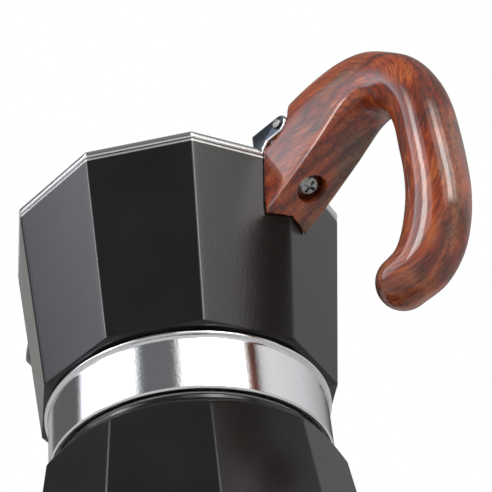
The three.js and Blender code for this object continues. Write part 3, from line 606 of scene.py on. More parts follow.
def rosewood():
    """Lacquered rosewood. The grain attribute holds (along, in-plane, across) in millimetres."""
    s = Shader("rosewood", IOR=1.5, Coat_Weight=1.0, Coat_Roughness=0.05, Coat_IOR=1.6)
    s.surface.inputs["Specular IOR Level"].default_value = 0.2
    along = s.node("ShaderNodeAttribute", attribute_name="grain").outputs["Vector"]
    slant = (0, 0, math.radians(24))
    slanted = s.node("ShaderNodeMapping", {"Vector": along, "Rotation": slant}).outputs["Vector"]
    flow = s.noise(1.0, 3, source=s.stretched((0.02, 0.07, 0.05), along), distortion=0.8)
    bands = s.math("PINGPONG", s.times(flow, 11.0), 1.0)
    wisps = s.noise(1.0, 6, source=s.stretched((0.10, 1.35, 0.9), slanted), roughness=0.68, distortion=0.3)
    fibres = s.noise(1.0, 5, source=s.stretched((0.22, 3.4, 2.5), slanted), roughness=0.66)
    patches = s.noise(1.0, 3, source=s.stretched((0.035, 0.09, 0.06), along))
    tone = s.plus(s.times(bands, 0.34), s.times(wisps, 0.66))
    red = s.ramp(
        tone,
        (0.20, (0.042, 0.009, 0.004)),
        (0.40, (0.24, 0.030, 0.008)),
        (0.58, (0.42, 0.066, 0.013)),
        (0.80, (0.62, 0.165, 0.036)),
    )
    dull = s.ramp(
        tone,
        (0.20, (0.035, 0.014, 0.010)),
        (0.45, (0.11, 0.045, 0.028)),
        (0.75, (0.26, 0.12, 0.065)),
    )
    colour = s.mix(s.spread(patches, 0, 1, 0.50, 0.66), red, dull)
    veins = s.ramp(wisps, (0.0, (1, 1, 1)), (0.36, (1, 1, 1)), (0.46, (0, 0, 0)), (1.0, (0, 0, 0)))
    colour = s.mix(s.times(veins, 0.55), colour, (0.028, 0.011, 0.008))
    pores = s.ramp(fibres, (0.0, (1, 1, 1)), (0.38, (1, 1, 1)), (0.47, (0, 0, 0)), (1.0, (0, 0, 0)))
    colour = s.mix(s.times(pores, 0.62), colour, (0.06, 0.018, 0.010))
    s.link(colour, "Base Color")
    s.link(s.spread(fibres, 0.30, 0.5), "Roughness")
    s.link(s.bump(s.math("SUBTRACT", fibres, s.times(pores, 0.5)), 0.00005, 0.35), "Normal")
    return s.material


PAINT = black_paint()
POLISHED = polished_aluminium()
# a painted dark reflection, used on the hinge ears' flat sides
PAINTED_DARK_REFLECTION = painted_reflection_aluminium()
CAST = cast_aluminium()
MACHINED = machined_aluminium()
BRASS = brass()
STEEL = steel()
RUBBER = rubber()
FIBRE = fibre()
WOOD = rosewood()

# ---------------------------------------------------------------- boiler


def boiler():
    """Faceted below, turned at the shoulder, with a threaded neck and a hollow inside."""
    flare = (BASE_CORNER - SHOULDER_CORNER) / SHOULDER_Z
    cone = (LIP_Z - SHOULDER_Z) / (SHOULDER_CORNER - LIP_RADIUS)
    skin = Skin()
    add, plain = skin.add, skin.plain

    def corner(z):
        return SHOULDER_CORNER + flare * (SHOULDER_Z - z)

    floor_z, wall, recess = 4.2, 3.6, 0.5
    foot = corner(0) - 3.0
    under = ((0.0, recess), (20.0, recess), (foot - 6.0, recess), (foot - 5.2, 0.0), (foot - 0.5, 0.0))
    for radius, z in under:
        plain(radius, z, 1, 0.0 if radius < foot - 7 else 1.0)
    for t in np.linspace(0, 1, 7)[1:-1]:
        plain(foot - 0.5 + t * 0.9, 0.55 * t * t, 0)
    for t in np.linspace(0, 1, 7):
        z = 0.75 + (3.2 - 0.75) * t
        plain(min(corner(z), corner(3.2) - 0.9 * (3.2 - z) ** 1.05), z, 0)
    for z in levels(4.2, SHOULDER_Z - 1.2, 6.0):
        plain(corner(z), z, 0)
    for z in levels(SHOULDER_Z - 0.8, LIP_Z, 0.28):
        angles, flat = facet_ring(corner(z))
        limit = LIP_RADIUS + (LIP_Z - z) / cone
        add(angles, soft_min(flat, np.full_like(flat, limit), 0.7), z, 0)
    for radius, z in rounded(
        [(LIP_RADIUS, LIP_Z, 0), (LIP_RADIUS, BOILER_LEDGE, 0.5), (NECK_RADIUS, BOILER_LEDGE, 0.4),
         (NECK_RADIUS, BOILER_LEDGE + 1, 0)]
    )[1:-1]:
        plain(radius, z, 0 if radius > LIP_RADIUS - 1.0 else 1, 0.0)
    neck_top = boiler_high[2]
    thread_start = neck_top - THREAD_PITCH * THREAD_TURNS - 2
    for z in levels(BOILER_LEDGE + 1, neck_top - 0.6, 0.25):
        angles, flat = facet_ring(NECK_RADIUS, 0.0)
        add(angles, flat + thread_ridge(angles, z, thread_start, THREAD_DEPTH), z, 1)
    for radius, z in rounded(
        [(NECK_RADIUS, neck_top - 0.6, 0), (NECK_RADIUS, neck_top, 0.4), (NECK_BORE, neck_top, 0.4),
         (NECK_BORE, BOILER_LEDGE, 0)]
    )[1:]:
        plain(radius, z, 1, 0.0)
    ceiling = SHOULDER_Z - wall
    for t in np.linspace(0, 1, 10)[1:]:
        radius = NECK_BORE + (corner(ceiling) - wall - NECK_BORE) * math.sin(t * math.pi / 2)
        z = BOILER_LEDGE - 4 + (ceiling - 3 - BOILER_LEDGE + 4) * (1 - math.cos(t * math.pi / 2))
        plain(radius, z, 1, t)
    for z in levels(floor_z + 5, ceiling - 8, 9)[::-1]:
        plain(corner(z) - wall, z, 1)
    for t in np.linspace(0, math.pi / 2, 7)[1:]:
        plain(corner(floor_z + 5) - wall - 5 + 5 * math.cos(t), floor_z + 5 - 5 * math.sin(t), 1)
    plain(20.0, floor_z, 1, 0.0)
    plain(0.0, floor_z, 1, 0.0)
    return from_rows("boiler_skin", skin.rows, [PAINT, MACHINED], False, skin.indices)


def valve_boss(skin):
    """The turned pad that the safety valve is screwed into."""
    washer_low, washer_high = span("valve_washer")
    height = (washer_low[2] + washer_high[2]) / 2
    face = washer_low[1] - 0.3
    pad = turned(
        "pad", [(0, face - 5), (9.0, face - 5), (7.5, face - 1.3, 1.2), (7.5, face, 0.35), (0, face)],
        [PAINT, MACHINED], axis="Y", at=(0, 0, height), columns=72,
    )
    bore = rod("bore", VALVE_BORE, face - 12, face + 2, [PAINT, MACHINED], axis="Y",
               at=(0, 0, height), columns=48)
    combined(skin, "UNION", pad)
    combined(skin, "DIFFERENCE", bore)
    return skin


def safety_valve():
    """Brass body with a hexagon, its cap, the spring and the poppet's pin, all along +Y."""
    body_low, body_high = span("valve_body")
    height = (body_low[2] + body_high[2]) / 2
    washer_low, washer_high = span("valve_washer")
    cap_low, cap_high = span("valve_cap")
    poppet_low, poppet_high = span("valve_poppet")
    spring_low, spring_high = span("valve_spring")
    at = (0, 0, height)
    flange = washer_high[1] + 0.3
    nose = flange + 2.2
    end = body_high[1]
    seat = body_low[1]
    body = turned(
        "valve_body_turned",
        [(1.5, seat, 0), (4.0, seat, 0.3), (4.0, nose, 0), (4.9, nose, 0), (4.9, end - 1.0, 0.5),
         (4.2, end, 0.3), (3.3, end, 0.2), (3.3, seat + 2, 0), (1.5, seat + 2, 0)],
        [BRASS], loop=True, axis="Y", at=at, columns=96,
    )
    hexagon = rod("hexagon", 6.6, flange, nose, [BRASS], axis="Y", at=at, columns=6)
    chamfer = turned("chamfer", [(0, flange - 1), (6.0, flange - 1), (6.55, flange + 0.3), (6.55, nose - 0.3),
                                 (6.0, nose + 1), (0, nose + 1)], [BRASS], axis="Y", at=at, columns=96)
    core = rod("core", 3.6, seat - 1, end + 1, [BRASS], axis="Y", at=at, columns=96)
    combined(hexagon, "INTERSECT", chamfer)
    combined(hexagon, "DIFFERENCE", core)
    combined(body, "UNION", hexagon, sharp=30)
    placed(body, "base", "brass", "valve_body")
    cap_bore = 1.3
    cap = washer("valve_cap_turned", cap_bore, cap_high[0], cap_low[1], cap_high[1],
                 (0.1, 0.1, 0.15, 0.2), [BRASS], axis="Y", at=at, columns=72, steps=3)
    placed(cap, "base", "brass", "valve_cap")
    seal = washer("valve_washer_fibre", VALVE_BORE, washer_high[0], washer_low[1], washer_high[1],
                  (0.1, 0.25, 0.25, 0.1), [FIBRE], axis="Y", at=at, columns=96, steps=3)
    placed(seal, "base", "fibre", "valve_washer")
    poppet = turned(
        "valve_poppet_pin",
        [(0, poppet_low[1]), (1.6, poppet_low[1], 0.2), (2.7, poppet_low[1] + 1.0, 0.3),
         (2.7, poppet_low[1] + 2.0, 0.2), (1.0, poppet_low[1] + 2.0, 0.2), (1.0, poppet_high[1], 0.45),
         (0, poppet_high[1])], [STEEL], axis="Y", at=at, columns=48,
    )
    placed(poppet, "poppet", "steel", "valve_poppet")
    wire, coils, sides = 0.35, 4, 10
    steps = 40 * coils
    radius = spring_high[0] - wire
    start = spring_low[1] + wire
    rise = (spring_high[1] - wire - start) / steps
    rows = []
    for i in range(steps + 1):
        a = 2 * math.pi * coils * i / steps
        out = Vector((math.cos(a), 0, math.sin(a)))
        centre = Vector((0, start + rise * i, height)) + out * radius
        ring = [2 * math.pi * k / sides for k in range(sides)]
        rows.append([centre + wire * (math.cos(b) * out + math.sin(b) * Vector((0, 1, 0))) for b in ring])
    spring = from_rows("valve_spring_wire", rows, [STEEL], False)
    placed(spring, "base", "steel", "valve_spring")


placed(valve_boss(boiler()), "base", "black_paint", "boiler")
safety_valve()

# ---------------------------------------------------------------- funnel, gasket and filter


def funnel():
    rim, top = funnel_high[0], funnel_high[2]
    low = funnel_low[2]
    basket, stem, sheet = 29.9, 5.6, 0.8
    bottom = plate_low[2] - sheet
    cone = bottom - 7
    piece = turned(
        "funnel_spun",
        [(stem, low, 0.3), (stem, cone, 2.5), (basket, bottom, 2.5), (basket, top - sheet, 0.5),
         (rim, top - sheet, 0.3), (rim, top, 0.3), (basket - sheet, top, 0.6),
         (basket - sheet, bottom + 0.4, 1.5), (stem - sheet, cone + 0.4, 2.0), (stem - sheet, low, 0.3)],
        [CAST], loop=True, columns=160,
    )
    placed(piece, "funnel", "cast_aluminium", "funnel")


def pierced_disc(name, radius, low, high, pattern, pitch, hole, body, node):
    """A thin disc with a hexagonal pattern of small holes."""
    disc = turned(name, [(0, low), (radius, low, 0.25), (radius, high, 0.25), (0, high)], [CAST], columns=160)
    row_step = pitch * math.sqrt(3) / 2
    reach = int(pattern / row_step)
    bm = bmesh.new()
    for row in range(-reach, reach + 1):
        for column in range(-reach - 1, reach + 2):
            x = (column + (row % 2) / 2) * pitch
            y = row * row_step
            if math.hypot(x, y) > pattern:
                continue
            bmesh.ops.create_cone(
                bm, cap_ends=True, segments=12, radius1=hole, radius2=hole, depth=4 * (high - low),
                matrix=Matrix.Translation((x, y, (low + high) / 2)),
            )
    holes = finished(name + "_holes", bm, [CAST])
    combined(disc, "DIFFERENCE", holes)
    placed(disc, body, "cast_aluminium", node)


def gasket():
    piece = washer("gasket_ring", GASKET_BORE, gasket_high[0], gasket_low[2], gasket_high[2],
                   (0.5, 0.5, 0.5, 0.5), [RUBBER], columns=160, steps=4)
    placed(piece, "gasket", "rubber", "gasket")


funnel()
pierced_disc("funnel_plate_pierced", plate_high[0], plate_low[2], plate_high[2], 25.5, 3.6, 0.7, "funnel",
             "funnel_plate")
pierced_disc("filter_plate_pierced", filter_high[0], filter_low[2], filter_high[2], 25.5, 3.0, 0.5, "filter",
             "filter_plate")
gasket()

# ---------------------------------------------------------------- jug and band


def jug():
    """One closed skin: painted facets and spout outside, bare metal inside and under the band."""
    skin = Skin()
    add, plain = skin.add, skin.plain
    skirt_low = jug_low[2]
    for radius, z in rounded([(SKIRT_BORE, skirt_low + 2, 0), (SKIRT_BORE, skirt_low, 0.3),
                              (SKIRT_RADIUS, skirt_low, 0.4), (SKIRT_RADIUS, skirt_low + 2, 0)])[1:]:
        plain(radius, z, 1, 0.0)
    taper_low = band_high[2] + 0.25
    plain(SKIRT_RADIUS, taper_low, 1, 0.0)
    for t in np.linspace(0, 1, 9):
        radius = SKIRT_RADIUS + 0.6 + (FOOT_CORNER - SKIRT_RADIUS - 0.6) * t
        z = taper_low + (FOOT_Z - 0.12 - taper_low) * t
        angles, flat = facet_ring(radius)
        add(angles, (1 - t) * radius + t * flat, z, 0)
    for z in [FOOT_Z + 0.1, FOOT_Z + 0.4, *levels(FOOT_Z + 1.2, RIM_Z - SHEEN_EDGE, 1.6)]:
        angles, flat = facet_ring(jug_corner(z))
        add(angles, soft_max(flat, spout_radius(angles, z, 0), 1.6), z, 0)
    for z, less in ((RIM_Z - SHEEN_EDGE + 0.12, 0.10), (RIM_Z - 0.45, 0.10), (RIM_Z - 0.2, 0.16),
                    (RIM_Z - 0.06, 0.3), (RIM_Z, 0.5)):
        angles, flat = facet_ring(jug_corner(z))
        add(angles, soft_max(flat, spout_radius(angles, z, 0), 1.6) - less, z, 1)
    for z, more in ((RIM_Z, 0.4), (RIM_Z - 0.12, 0.12), (RIM_Z - 0.4, 0.0)):
        angles, flat = facet_ring(jug_corner(z) - JUG_WALL)
        add(angles, soft_max(flat, spout_radius(angles, z, SPOUT_WALL), 1.6) + more, z, 1)
    for z in levels(JUG_FLOOR_Z + 3.2, RIM_Z - 1.2, 1.6)[::-1]:
        angles, flat = facet_ring(jug_corner(z) - JUG_WALL)
        add(angles, soft_max(flat, spout_radius(angles, z, SPOUT_WALL), 1.6), z, 1)
    inner = jug_corner(JUG_FLOOR_Z + 3.2) - JUG_WALL
    for a in np.linspace(0, math.pi / 2, 7)[1:]:
        plain(inner - 3.2 + 3.2 * math.cos(a), JUG_FLOOR_Z + 3.2 - 3.2 * math.sin(a), 1)
    plain(18.0, JUG_FLOOR_Z, 1, 0.0)
    for radius, z in rounded([(12.0, JUG_FLOOR_Z, 0), (SOCKET_RADIUS, JUG_FLOOR_Z, 0.3),
                              (SOCKET_RADIUS, SEAT_Z + 2.5, 0.3), (DOME_RADIUS, SEAT_Z, 0),
                              (SKIRT_BORE, SEAT_Z, 0.4), (SKIRT_BORE, SEAT_Z - 1, 0)])[1:]:
        plain(radius, z, 1, 0.0)
    thread_start = boiler_high[2] - THREAD_PITCH * (THREAD_TURNS + 0.5) - 2
    for z in levels(skirt_low + 2, SEAT_Z - 1.2, 0.25)[::-1]:
        angles, flat = facet_ring(SKIRT_BORE, 0.0)
        add(angles, flat - thread_ridge(angles, z, thread_start, THREAD_DEPTH), z, 1)
    return from_rows("jug_skin", skin.rows, [PAINT, CAST], True, skin.indices)


def tang(skin):
    """The lug that the handle is screwed to and the hinge's knuckle on it."""
    top = RIM_Z - 2.4
    lug = prism("lug", [(47.0, top - 12), (53.5, top - 9.4), (62.1, top - 5.6), (62.1, top), (47.0, top)],
                8.4, [PAINT, CAST], 0.4)
    arm = [(pin_x - KNUCKLE_RADIUS, top - 3.1), (pin_x + KNUCKLE_RADIUS, top - 3.1)]
    arm += arc(pin_x, pin_z, KNUCKLE_RADIUS, 0, 180, 28)
    knuckle = prism("knuckle", arm, KNUCKLE_WIDTH, [PAINT, CAST], 0.35)
    for piece in (lug, knuckle):
        for face in piece.data.polygons:
            face.material_index = 1
    combined(skin, "UNION", lug)
    combined(skin, "UNION", knuckle)
    bore = rod("bore", pin_radius + 0.2, -20, 20, [PAINT, CAST], axis="Y", at=(pin_x, 0, pin_z), columns=64)
    combined(skin, "DIFFERENCE", bore)
    return skin


def collar_band():
    low, high, lip = band_low[2], band_high[2], band_high[0]
    bore, radius = 38.2, 40.2
    piece = turned(
        "collar_band_spun",
        [(bore, low, 0.2), (radius - 0.45, low, 0.2), (radius, low + 0.45, 0.3), (radius, high - 2.1, 0.9),
         (radius + 0.3, high - 1.5, 0.5), (lip, high - 1.1, 0.4), (lip, high - 0.35, 0.6),
         (lip - 0.8, high, 0.4), (bore, high, 0.2)],
        [POLISHED], loop=True, columns=256, steps=6,
    )
    placed(piece, "jug", "polished_aluminium", "collar_band")


def column():
    low, high = column_low[2], column_high[2]
    flange = JUG_FLOOR_Z + 0.3
    piece = turned(
        "pour_column",
        [(3.4, low, 0.2), (7.6, low, 0.3), (7.6, flange, 0), (10.0, flange, 0.4), (7.6, flange + 2.4, 3.0),
         (5.4, high - 2.7, 1.5), (2.7, high, 0.8), (0, high)],
        [CAST], columns=128, steps=6,
    )
    bore = turned("bore", [(0, low - 1), (3.4, low - 1), (3.4, high - 2.7, 1.0), (0, high - 2.7)], [CAST],
                  columns=64)
    slot_z = high - 6.2
    slot = prism("slot", [(-1.8, slot_z - 3.5), (1.8, slot_z - 3.5), (1.8, slot_z + 1.7)]
                 + arc(0, slot_z + 1.7, 1.8, 0, 180, 12)[1:], 24, [CAST], 0)
    combined(piece, "DIFFERENCE", bore)
    combined(piece, "DIFFERENCE", slot)
    placed(piece, "jug", "cast_aluminium", "column")


placed(tang(jug()), "jug", "black_paint", "jug")
collar_band()
column()

# ---------------------------------------------------------------- lid, hinge and knob


def beak_radius(angles, reach, half_width):
    """The lid's beak over the spout, in each direction."""
    off = np.abs(angles % (2 * math.pi) - math.pi)
    back = RIM_CORNER - SPOUT_HALF_WIDTH * math.tan(HALF_FACET) - JUG_WALL
    run, rise = reach - back, half_width - 2.2
    length = math.hypot(run, rise)
    normal = (rise / length, run / length)
    distance = normal[0] * reach + normal[1] * 2.2
    facing = normal[0] * np.cos(off) + normal[1] * np.sin(off)
    side = distance / np.maximum(facing, 0.02)
    front = reach / np.maximum(np.cos(off), 0.02)
    return np.where(off < math.radians(60), soft_min(side, front, 2.0), 0)


def lid():
    """A low ten-sided roof with a flat edge, a beak, and a ring that drops into the jug."""
    rings = Skin()
    plain = rings.plain
    reach = -lid_low[0]

    def edge(z, less):
        angles, flat = facet_ring(LID_CORNER)
        beak = beak_radius(angles, reach, SPOUT_HALF_WIDTH - 1.2)
        rings.add(angles, soft_max(flat, beak, 1.6) - less, z)

    plain(SPIGOT_CORNER, LID_Z - 2.1)
    plain(SPIGOT_CORNER, LID_Z - 0.2)
    plain(SPIGOT_CORNER + 0.2, LID_Z)
    for a in np.linspace(0, math.pi / 2, 5):
        edge(LID_Z + 0.45 - 0.45 * math.cos(a), 0.5 - 0.45 * math.sin(a))
    for a in np.linspace(0, math.pi / 2, 6):
        edge(LID_Z + LID_EDGE - 0.8 + 0.8 * math.sin(a), 0.05 + 0.8 - 0.8 * math.cos(a))
    roof = LID_Z + LID_EDGE
    plain(LID_CORNER - 1.6, roof + 0.1)
    for t in np.linspace(0, 1, 18)[1:]:
        corner = LID_CORNER - 1.6 + (LID_TOP_RADIUS + 1.5 - LID_CORNER + 1.6) * t
        crown = 0.45 * math.sin(math.pi * t)
        height = roof + 0.1 + (LID_TOP_Z - 0.5 - roof - 0.1) * t + crown
        plain(corner, height, share=1 - smooth_step((t - 0.75) * 4))
    plain(LID_TOP_RADIUS, LID_TOP_Z - 0.1, share=0.0)
    plain(LID_TOP_RADIUS - 1, LID_TOP_Z, share=0.0)
    for radius, z in rounded([(6, LID_TOP_Z, 0), (SCREW_HOLE, LID_TOP_Z, 0.2),
                              (SCREW_HOLE, LID_TOP_Z - LID_SHEET, 0.2),
                              (LID_TOP_RADIUS, LID_TOP_Z - LID_SHEET, 0)])[1:]:
        plain(radius, z, share=0.0)
    for t in np.linspace(0, 1, 12)[1:]:
        corner = LID_TOP_RADIUS + (SPIGOT_INNER - LID_TOP_RADIUS) * t
        height = LID_TOP_Z - LID_SHEET + (LID_Z - LID_TOP_Z + LID_SHEET) * t
        plain(corner, height, share=smooth_step(t * 3))
    plain(SPIGOT_INNER, LID_Z - 2.2)
    plain(SPIGOT_INNER + 0.3, LID_Z - 2.5)
    plain(SPIGOT_CORNER - 0.3, LID_Z - 2.5)
    skin = from_rows("lid_roof", rings.rows, [POLISHED, PAINTED_DARK_REFLECTION], True)
    for side in (-1, 1):
        ear_y = side * (KNUCKLE_WIDTH / 2 + 0.3 + EAR_THICKNESS / 2)
        root, foot = pin_x - 11, LID_Z + 1.4
        outline = [(root, foot), (pin_x - 8.2, foot), (pin_x - 5.0, pin_z - KNUCKLE_RADIUS)]
        outline += arc(pin_x, pin_z, KNUCKLE_RADIUS, -90, 90, 28)
        outline += [(root, pin_z + KNUCKLE_RADIUS)]
        ear = prism("ear", outline, EAR_THICKNESS, [POLISHED, PAINTED_DARK_REFLECTION], 0.55, ear_y, 4)
        # The ears' flat sides take the painted dark reflection, the rest stays polished.
        for face in ear.data.polygons:
            face.material_index = 1 if abs(face.normal.y) > 0.995 else 0
        combined(skin, "UNION", ear)
    bore = rod("bore", pin_radius + 0.12, -20, 20, [POLISHED], axis="Y", at=(pin_x, 0, pin_z), columns=64)
    combined(skin, "DIFFERENCE", bore)
    placed(skin, "lid", "polished_aluminium", "lid")


def hinge_pin():
    low, high = pin_low[1], pin_high[1]
    piece = turned(
        "hinge_pin_riveted",
        [(0, low + 0.25), (0.75, low + 0.25, 0.1), (0.85, low, 0.1), (pin_radius, low, 0.45),
         (pin_radius, high, 0.45), (0.85, high, 0.1), (0.75, high - 0.25, 0.1), (0, high - 0.25)],
        [STEEL], axis="Y", at=(pin_x, 0, pin_z), columns=64,
    )
    placed(piece, "jug", "steel", "hinge_pin")


def add_straight_grain(piece, along):
    """Grain that runs straight along one axis of a turned wooden piece."""
    attribute = piece.data.attributes.new("grain", "FLOAT_VECTOR", "POINT")
    for vertex, value in zip(piece.data.vertices, attribute.data):
        place = np.array(vertex.co) / MM
        value.vector = np.roll(place, -along)


def knob():
    low, high, widest = knob_low[2], knob_high[2], knob_high[0]
    piece = turned(
        "knob_turned",
        [(2.3, low, 0.2), (7.3, low, 0.5), (6.4, low + 6, 7.0), (widest, low + 17.3, 4.0),
         (widest - 0.2, high - 3.4, 3.0), (5.3, high - 0.4, 5.0), (0, high)],
        [WOOD], columns=128, steps=8,
    )
    bore = turned("bore", [(0, low - 1), (SCREW_HOLE, low - 1), (SCREW_HOLE, low + 17, 0.5), (0, low + 17)],
                  [WOOD], columns=48)
    combined(piece, "DIFFERENCE", bore)
    add_straight_grain(piece, 2)
    placed(piece, "lid", "rosewood", "knob")


def cut_cross(screw, outline, width, sharp=SHARP_EDGE):
    """Cuts a cross recess into the lower end of a screw made about Z."""
    for turn in (0, math.pi / 2):
        arm = prism("arm", outline, width, [STEEL], 0)
        arm.data.transform(Matrix.Rotation(turn, 4, "Z"))
        combined(screw, "DIFFERENCE", arm, sharp=sharp)


def knob_fixings():
    low, high = span("knob_washer")
    ring = washer("knob_washer_pressed", SCREW_HOLE, high[0], low[2], high[2], (0.1, 0.2, 0.2, 0.1), [STEEL],
                  columns=72, steps=3)
    placed(ring, "lid", "steel", "knob_washer")
    low, high = span("knob_screw")
    screw = turned(
        "knob_screw_turned",
        [(0, low[2]), (2.6, low[2], 0.8), (high[0], low[2] + 1.0, 0.5), (high[0], low[2] + 2.0, 0.15),
         (2.0, low[2] + 2.0, 0), (2.0, high[2], 0.4), (0, high[2])],
        [STEEL], columns=64,
    )
    cut_cross(screw, [(-2.2, low[2] - 1), (2.2, low[2] - 1), (1.6, low[2] + 1.0), (-1.6, low[2] + 1.0)], 0.9)
    placed(screw, "lid", "steel", "knob_screw")


lid()
hinge_pin()
knob()
knob_fixings()

# ---------------------------------------------------------------- handle

UNDERSIDE_ANGLE = math.radians(24.8)
UNDERSIDE_X = 46.1
UNDERSIDE_Z = 142.4
HANDLE_HALF_WIDTH = 8.45
TIP = (83.4, 97.4)
TIP_RADIUS = 7.4
SCREW_OUT = 13.1  # along the underside, from UNDERSIDE_X
HANDLE_VOXEL = 0.42  # millimetres

# Fitted to the photo, and up to about 4 mm off the CAD handle at the lower bend.
# Matching points of the handle's inner and outer edge, from the jug to the curled end, with the
# section's fullness below and above: 2 is an ellipse, more is squarer.
HANDLE_EDGES = [
    (38.0, 136.0, 38.0, 169.0, 7.0, 4.4),
    (50.0, 141.6, 51.0, 175.8, 7.0, 4.4),
    (60.0, 146.5, 62.5, 178.9, 6.8, 4.2),
    (69.0, 151.5, 74.0, 180.1, 6.4, 3.6),
    (75.0, 155.1, 82.5, 179.2, 5.6, 3.2),
    (80.0, 157.6, 90.0, 176.3, 4.2, 2.8),
    (84.8, 157.7, 97.0, 170.6, 3.0, 2.5),
    (88.9, 154.3, 102.8, 164.3, 2.4, 2.2),
    (91.4, 149.0, 106.9, 154.6, 2.2, 2.1),
    (92.5, 143.0, 108.7, 145.4, 2.1, 2.1),
    (92.6, 135.0, 109.2, 135.0, 2.1, 2.1),
    (92.5, 126.5, 109.2, 124.6, 2.1, 2.1),
    (91.4, 119.0, 108.6, 114.4, 2.1, 2.1),
    (89.3, 112.8, 106.4, 104.8, 2.1, 2.1),
    (87.2, 108.6, 102.2, 96.6, 2.05, 2.05),
    (85.4, 106.0, 94.6, 91.0, 2.0, 2.0),
    (TIP[0], TIP[1] + TIP_RADIUS, TIP[0] + 0.6, TIP[1] - TIP_RADIUS, 2.0, 2.0),
]


def underside(x):
    return UNDERSIDE_Z + math.tan(UNDERSIDE_ANGLE) * (x - UNDERSIDE_X)


def curve_through(points, steps):
    """A smooth curve through points, with equal steps between each pair."""
    points = np.array(points, float)
    padded = np.vstack([2 * points[0] - points[1], points, 2 * points[-1] - points[-2]])
    made = []
    for i in range(1, len(padded) - 2):
        p0, p1, p2, p3 = padded[i - 1 : i + 3]
        for t in np.arange(steps) / steps:
            made.append(
                0.5 * (2 * p1 + (p2 - p0) * t + (2 * p0 - 5 * p1 + 4 * p2 - p3) * t**2
                       + (3 * p1 - p0 - 3 * p2 + p3) * t**3)
            )
    made.append(points[-1])
    return np.array(made)


def handle_sections():
    """Centre, half height, direction across, half width and fullness of each section."""
    stations = curve_through(HANDLE_EDGES, 10)
    sections = []
    for inner_x, inner_z, outer_x, outer_z, below, above in stations:
        inner, outer = np.array([inner_x, inner_z]), np.array([outer_x, outer_z])
        centre, half = (inner + outer) / 2, (outer - inner) / 2
        reach = np.linalg.norm(half)
        slim = smooth_step((centre[1] - TIP[1]) / 38) if centre[0] > 80 else 1.0
        width = TIP_RADIUS + (HANDLE_HALF_WIDTH - TIP_RADIUS) * (slim if centre[1] < 137 else 1.0)
        sections.append((centre, reach, half / reach, width, below, above))
    centre, reach, across, width, below, above = sections[-1]
    along = np.array([across[1], -across[0]])
    if along[0] > 0:
        along = -along
    for a in np.linspace(0, math.pi / 2, 12)[1:]:
        shrink = max(math.cos(a), 0.0)
        sections.append((centre + along * TIP_RADIUS * math.sin(a), reach * shrink, across, width * shrink,
                         below, above))
    return sections


SECTION_COLUMNS = 72


def section_points(centre, reach, across, width, below, above):
    points = []
    for a in np.linspace(0, 2 * math.pi, SECTION_COLUMNS, endpoint=False):
        c, s = math.cos(a), math.sin(a)
        power = 2 / (above if s > 0 else below)
        out = math.copysign(abs(s) ** power, s) * reach
        side = math.copysign(abs(c) ** power, c) * width
        spot = centre + across * out
        points.append((spot[0], side, spot[1]))
    return points


def along_screw(piece):
    """Moves a piece made about Z to the handle screw's axis, height 0 on the underside."""
    x = UNDERSIDE_X + SCREW_OUT * math.cos(UNDERSIDE_ANGLE)
    turn = Matrix.Rotation(-UNDERSIDE_ANGLE, 4, "Y")
    piece.data.transform(Matrix.Translation((x * MM, 0, underside(x) * MM)) @ turn)
    return piece


def pot_space(name):
    """The jug's and lid's faceted outside with a small clearance, as a cutter."""
    clearance = 0.32
    profile = [(0.0, FOOT_Z - 10), (FOOT_CORNER - 1.2, FOOT_Z - 10), (FOOT_CORNER + clearance, FOOT_Z),
               (RIM_CORNER + clearance, RIM_Z), (LID_CORNER + clearance, RIM_Z + 0.05),
               (LID_CORNER + clearance, RIM_Z + 30), (0.0, RIM_Z + 30)]
    rows = [ring_points(*facet_ring(max(corner, 0.0)), z) for corner, z in profile]
    return from_rows(name, rows, [WOOD], False)


def add_bent_grain(piece, sections):
    """Grain that follows the handle round its bend."""
    centres = np.array([s[0] for s in sections])
    across = np.array([s[2] for s in sections])
    lengths = np.concatenate([[0], np.cumsum(np.linalg.norm(np.diff(centres, axis=0), axis=1))])
    places = np.array([v.co for v in piece.data.vertices]) / MM
    flat = places[:, [0, 2]]
    nearest = np.argmin(((flat[:, None, :] - centres[None]) ** 2).sum(axis=2), axis=1)
    off = flat - centres[nearest]
    out = (off * across[nearest]).sum(axis=1)
    step = np.stack([across[nearest][:, 1], -across[nearest][:, 0]], axis=1)
    along = lengths[nearest] + (off * step).sum(axis=1)
    attribute = piece.data.attributes.new("grain", "FLOAT_VECTOR", "POINT")
    grain = np.stack([along, out, places[:, 1]], axis=1).astype(np.float32)
    attribute.data.foreach_set("vector", grain.ravel())


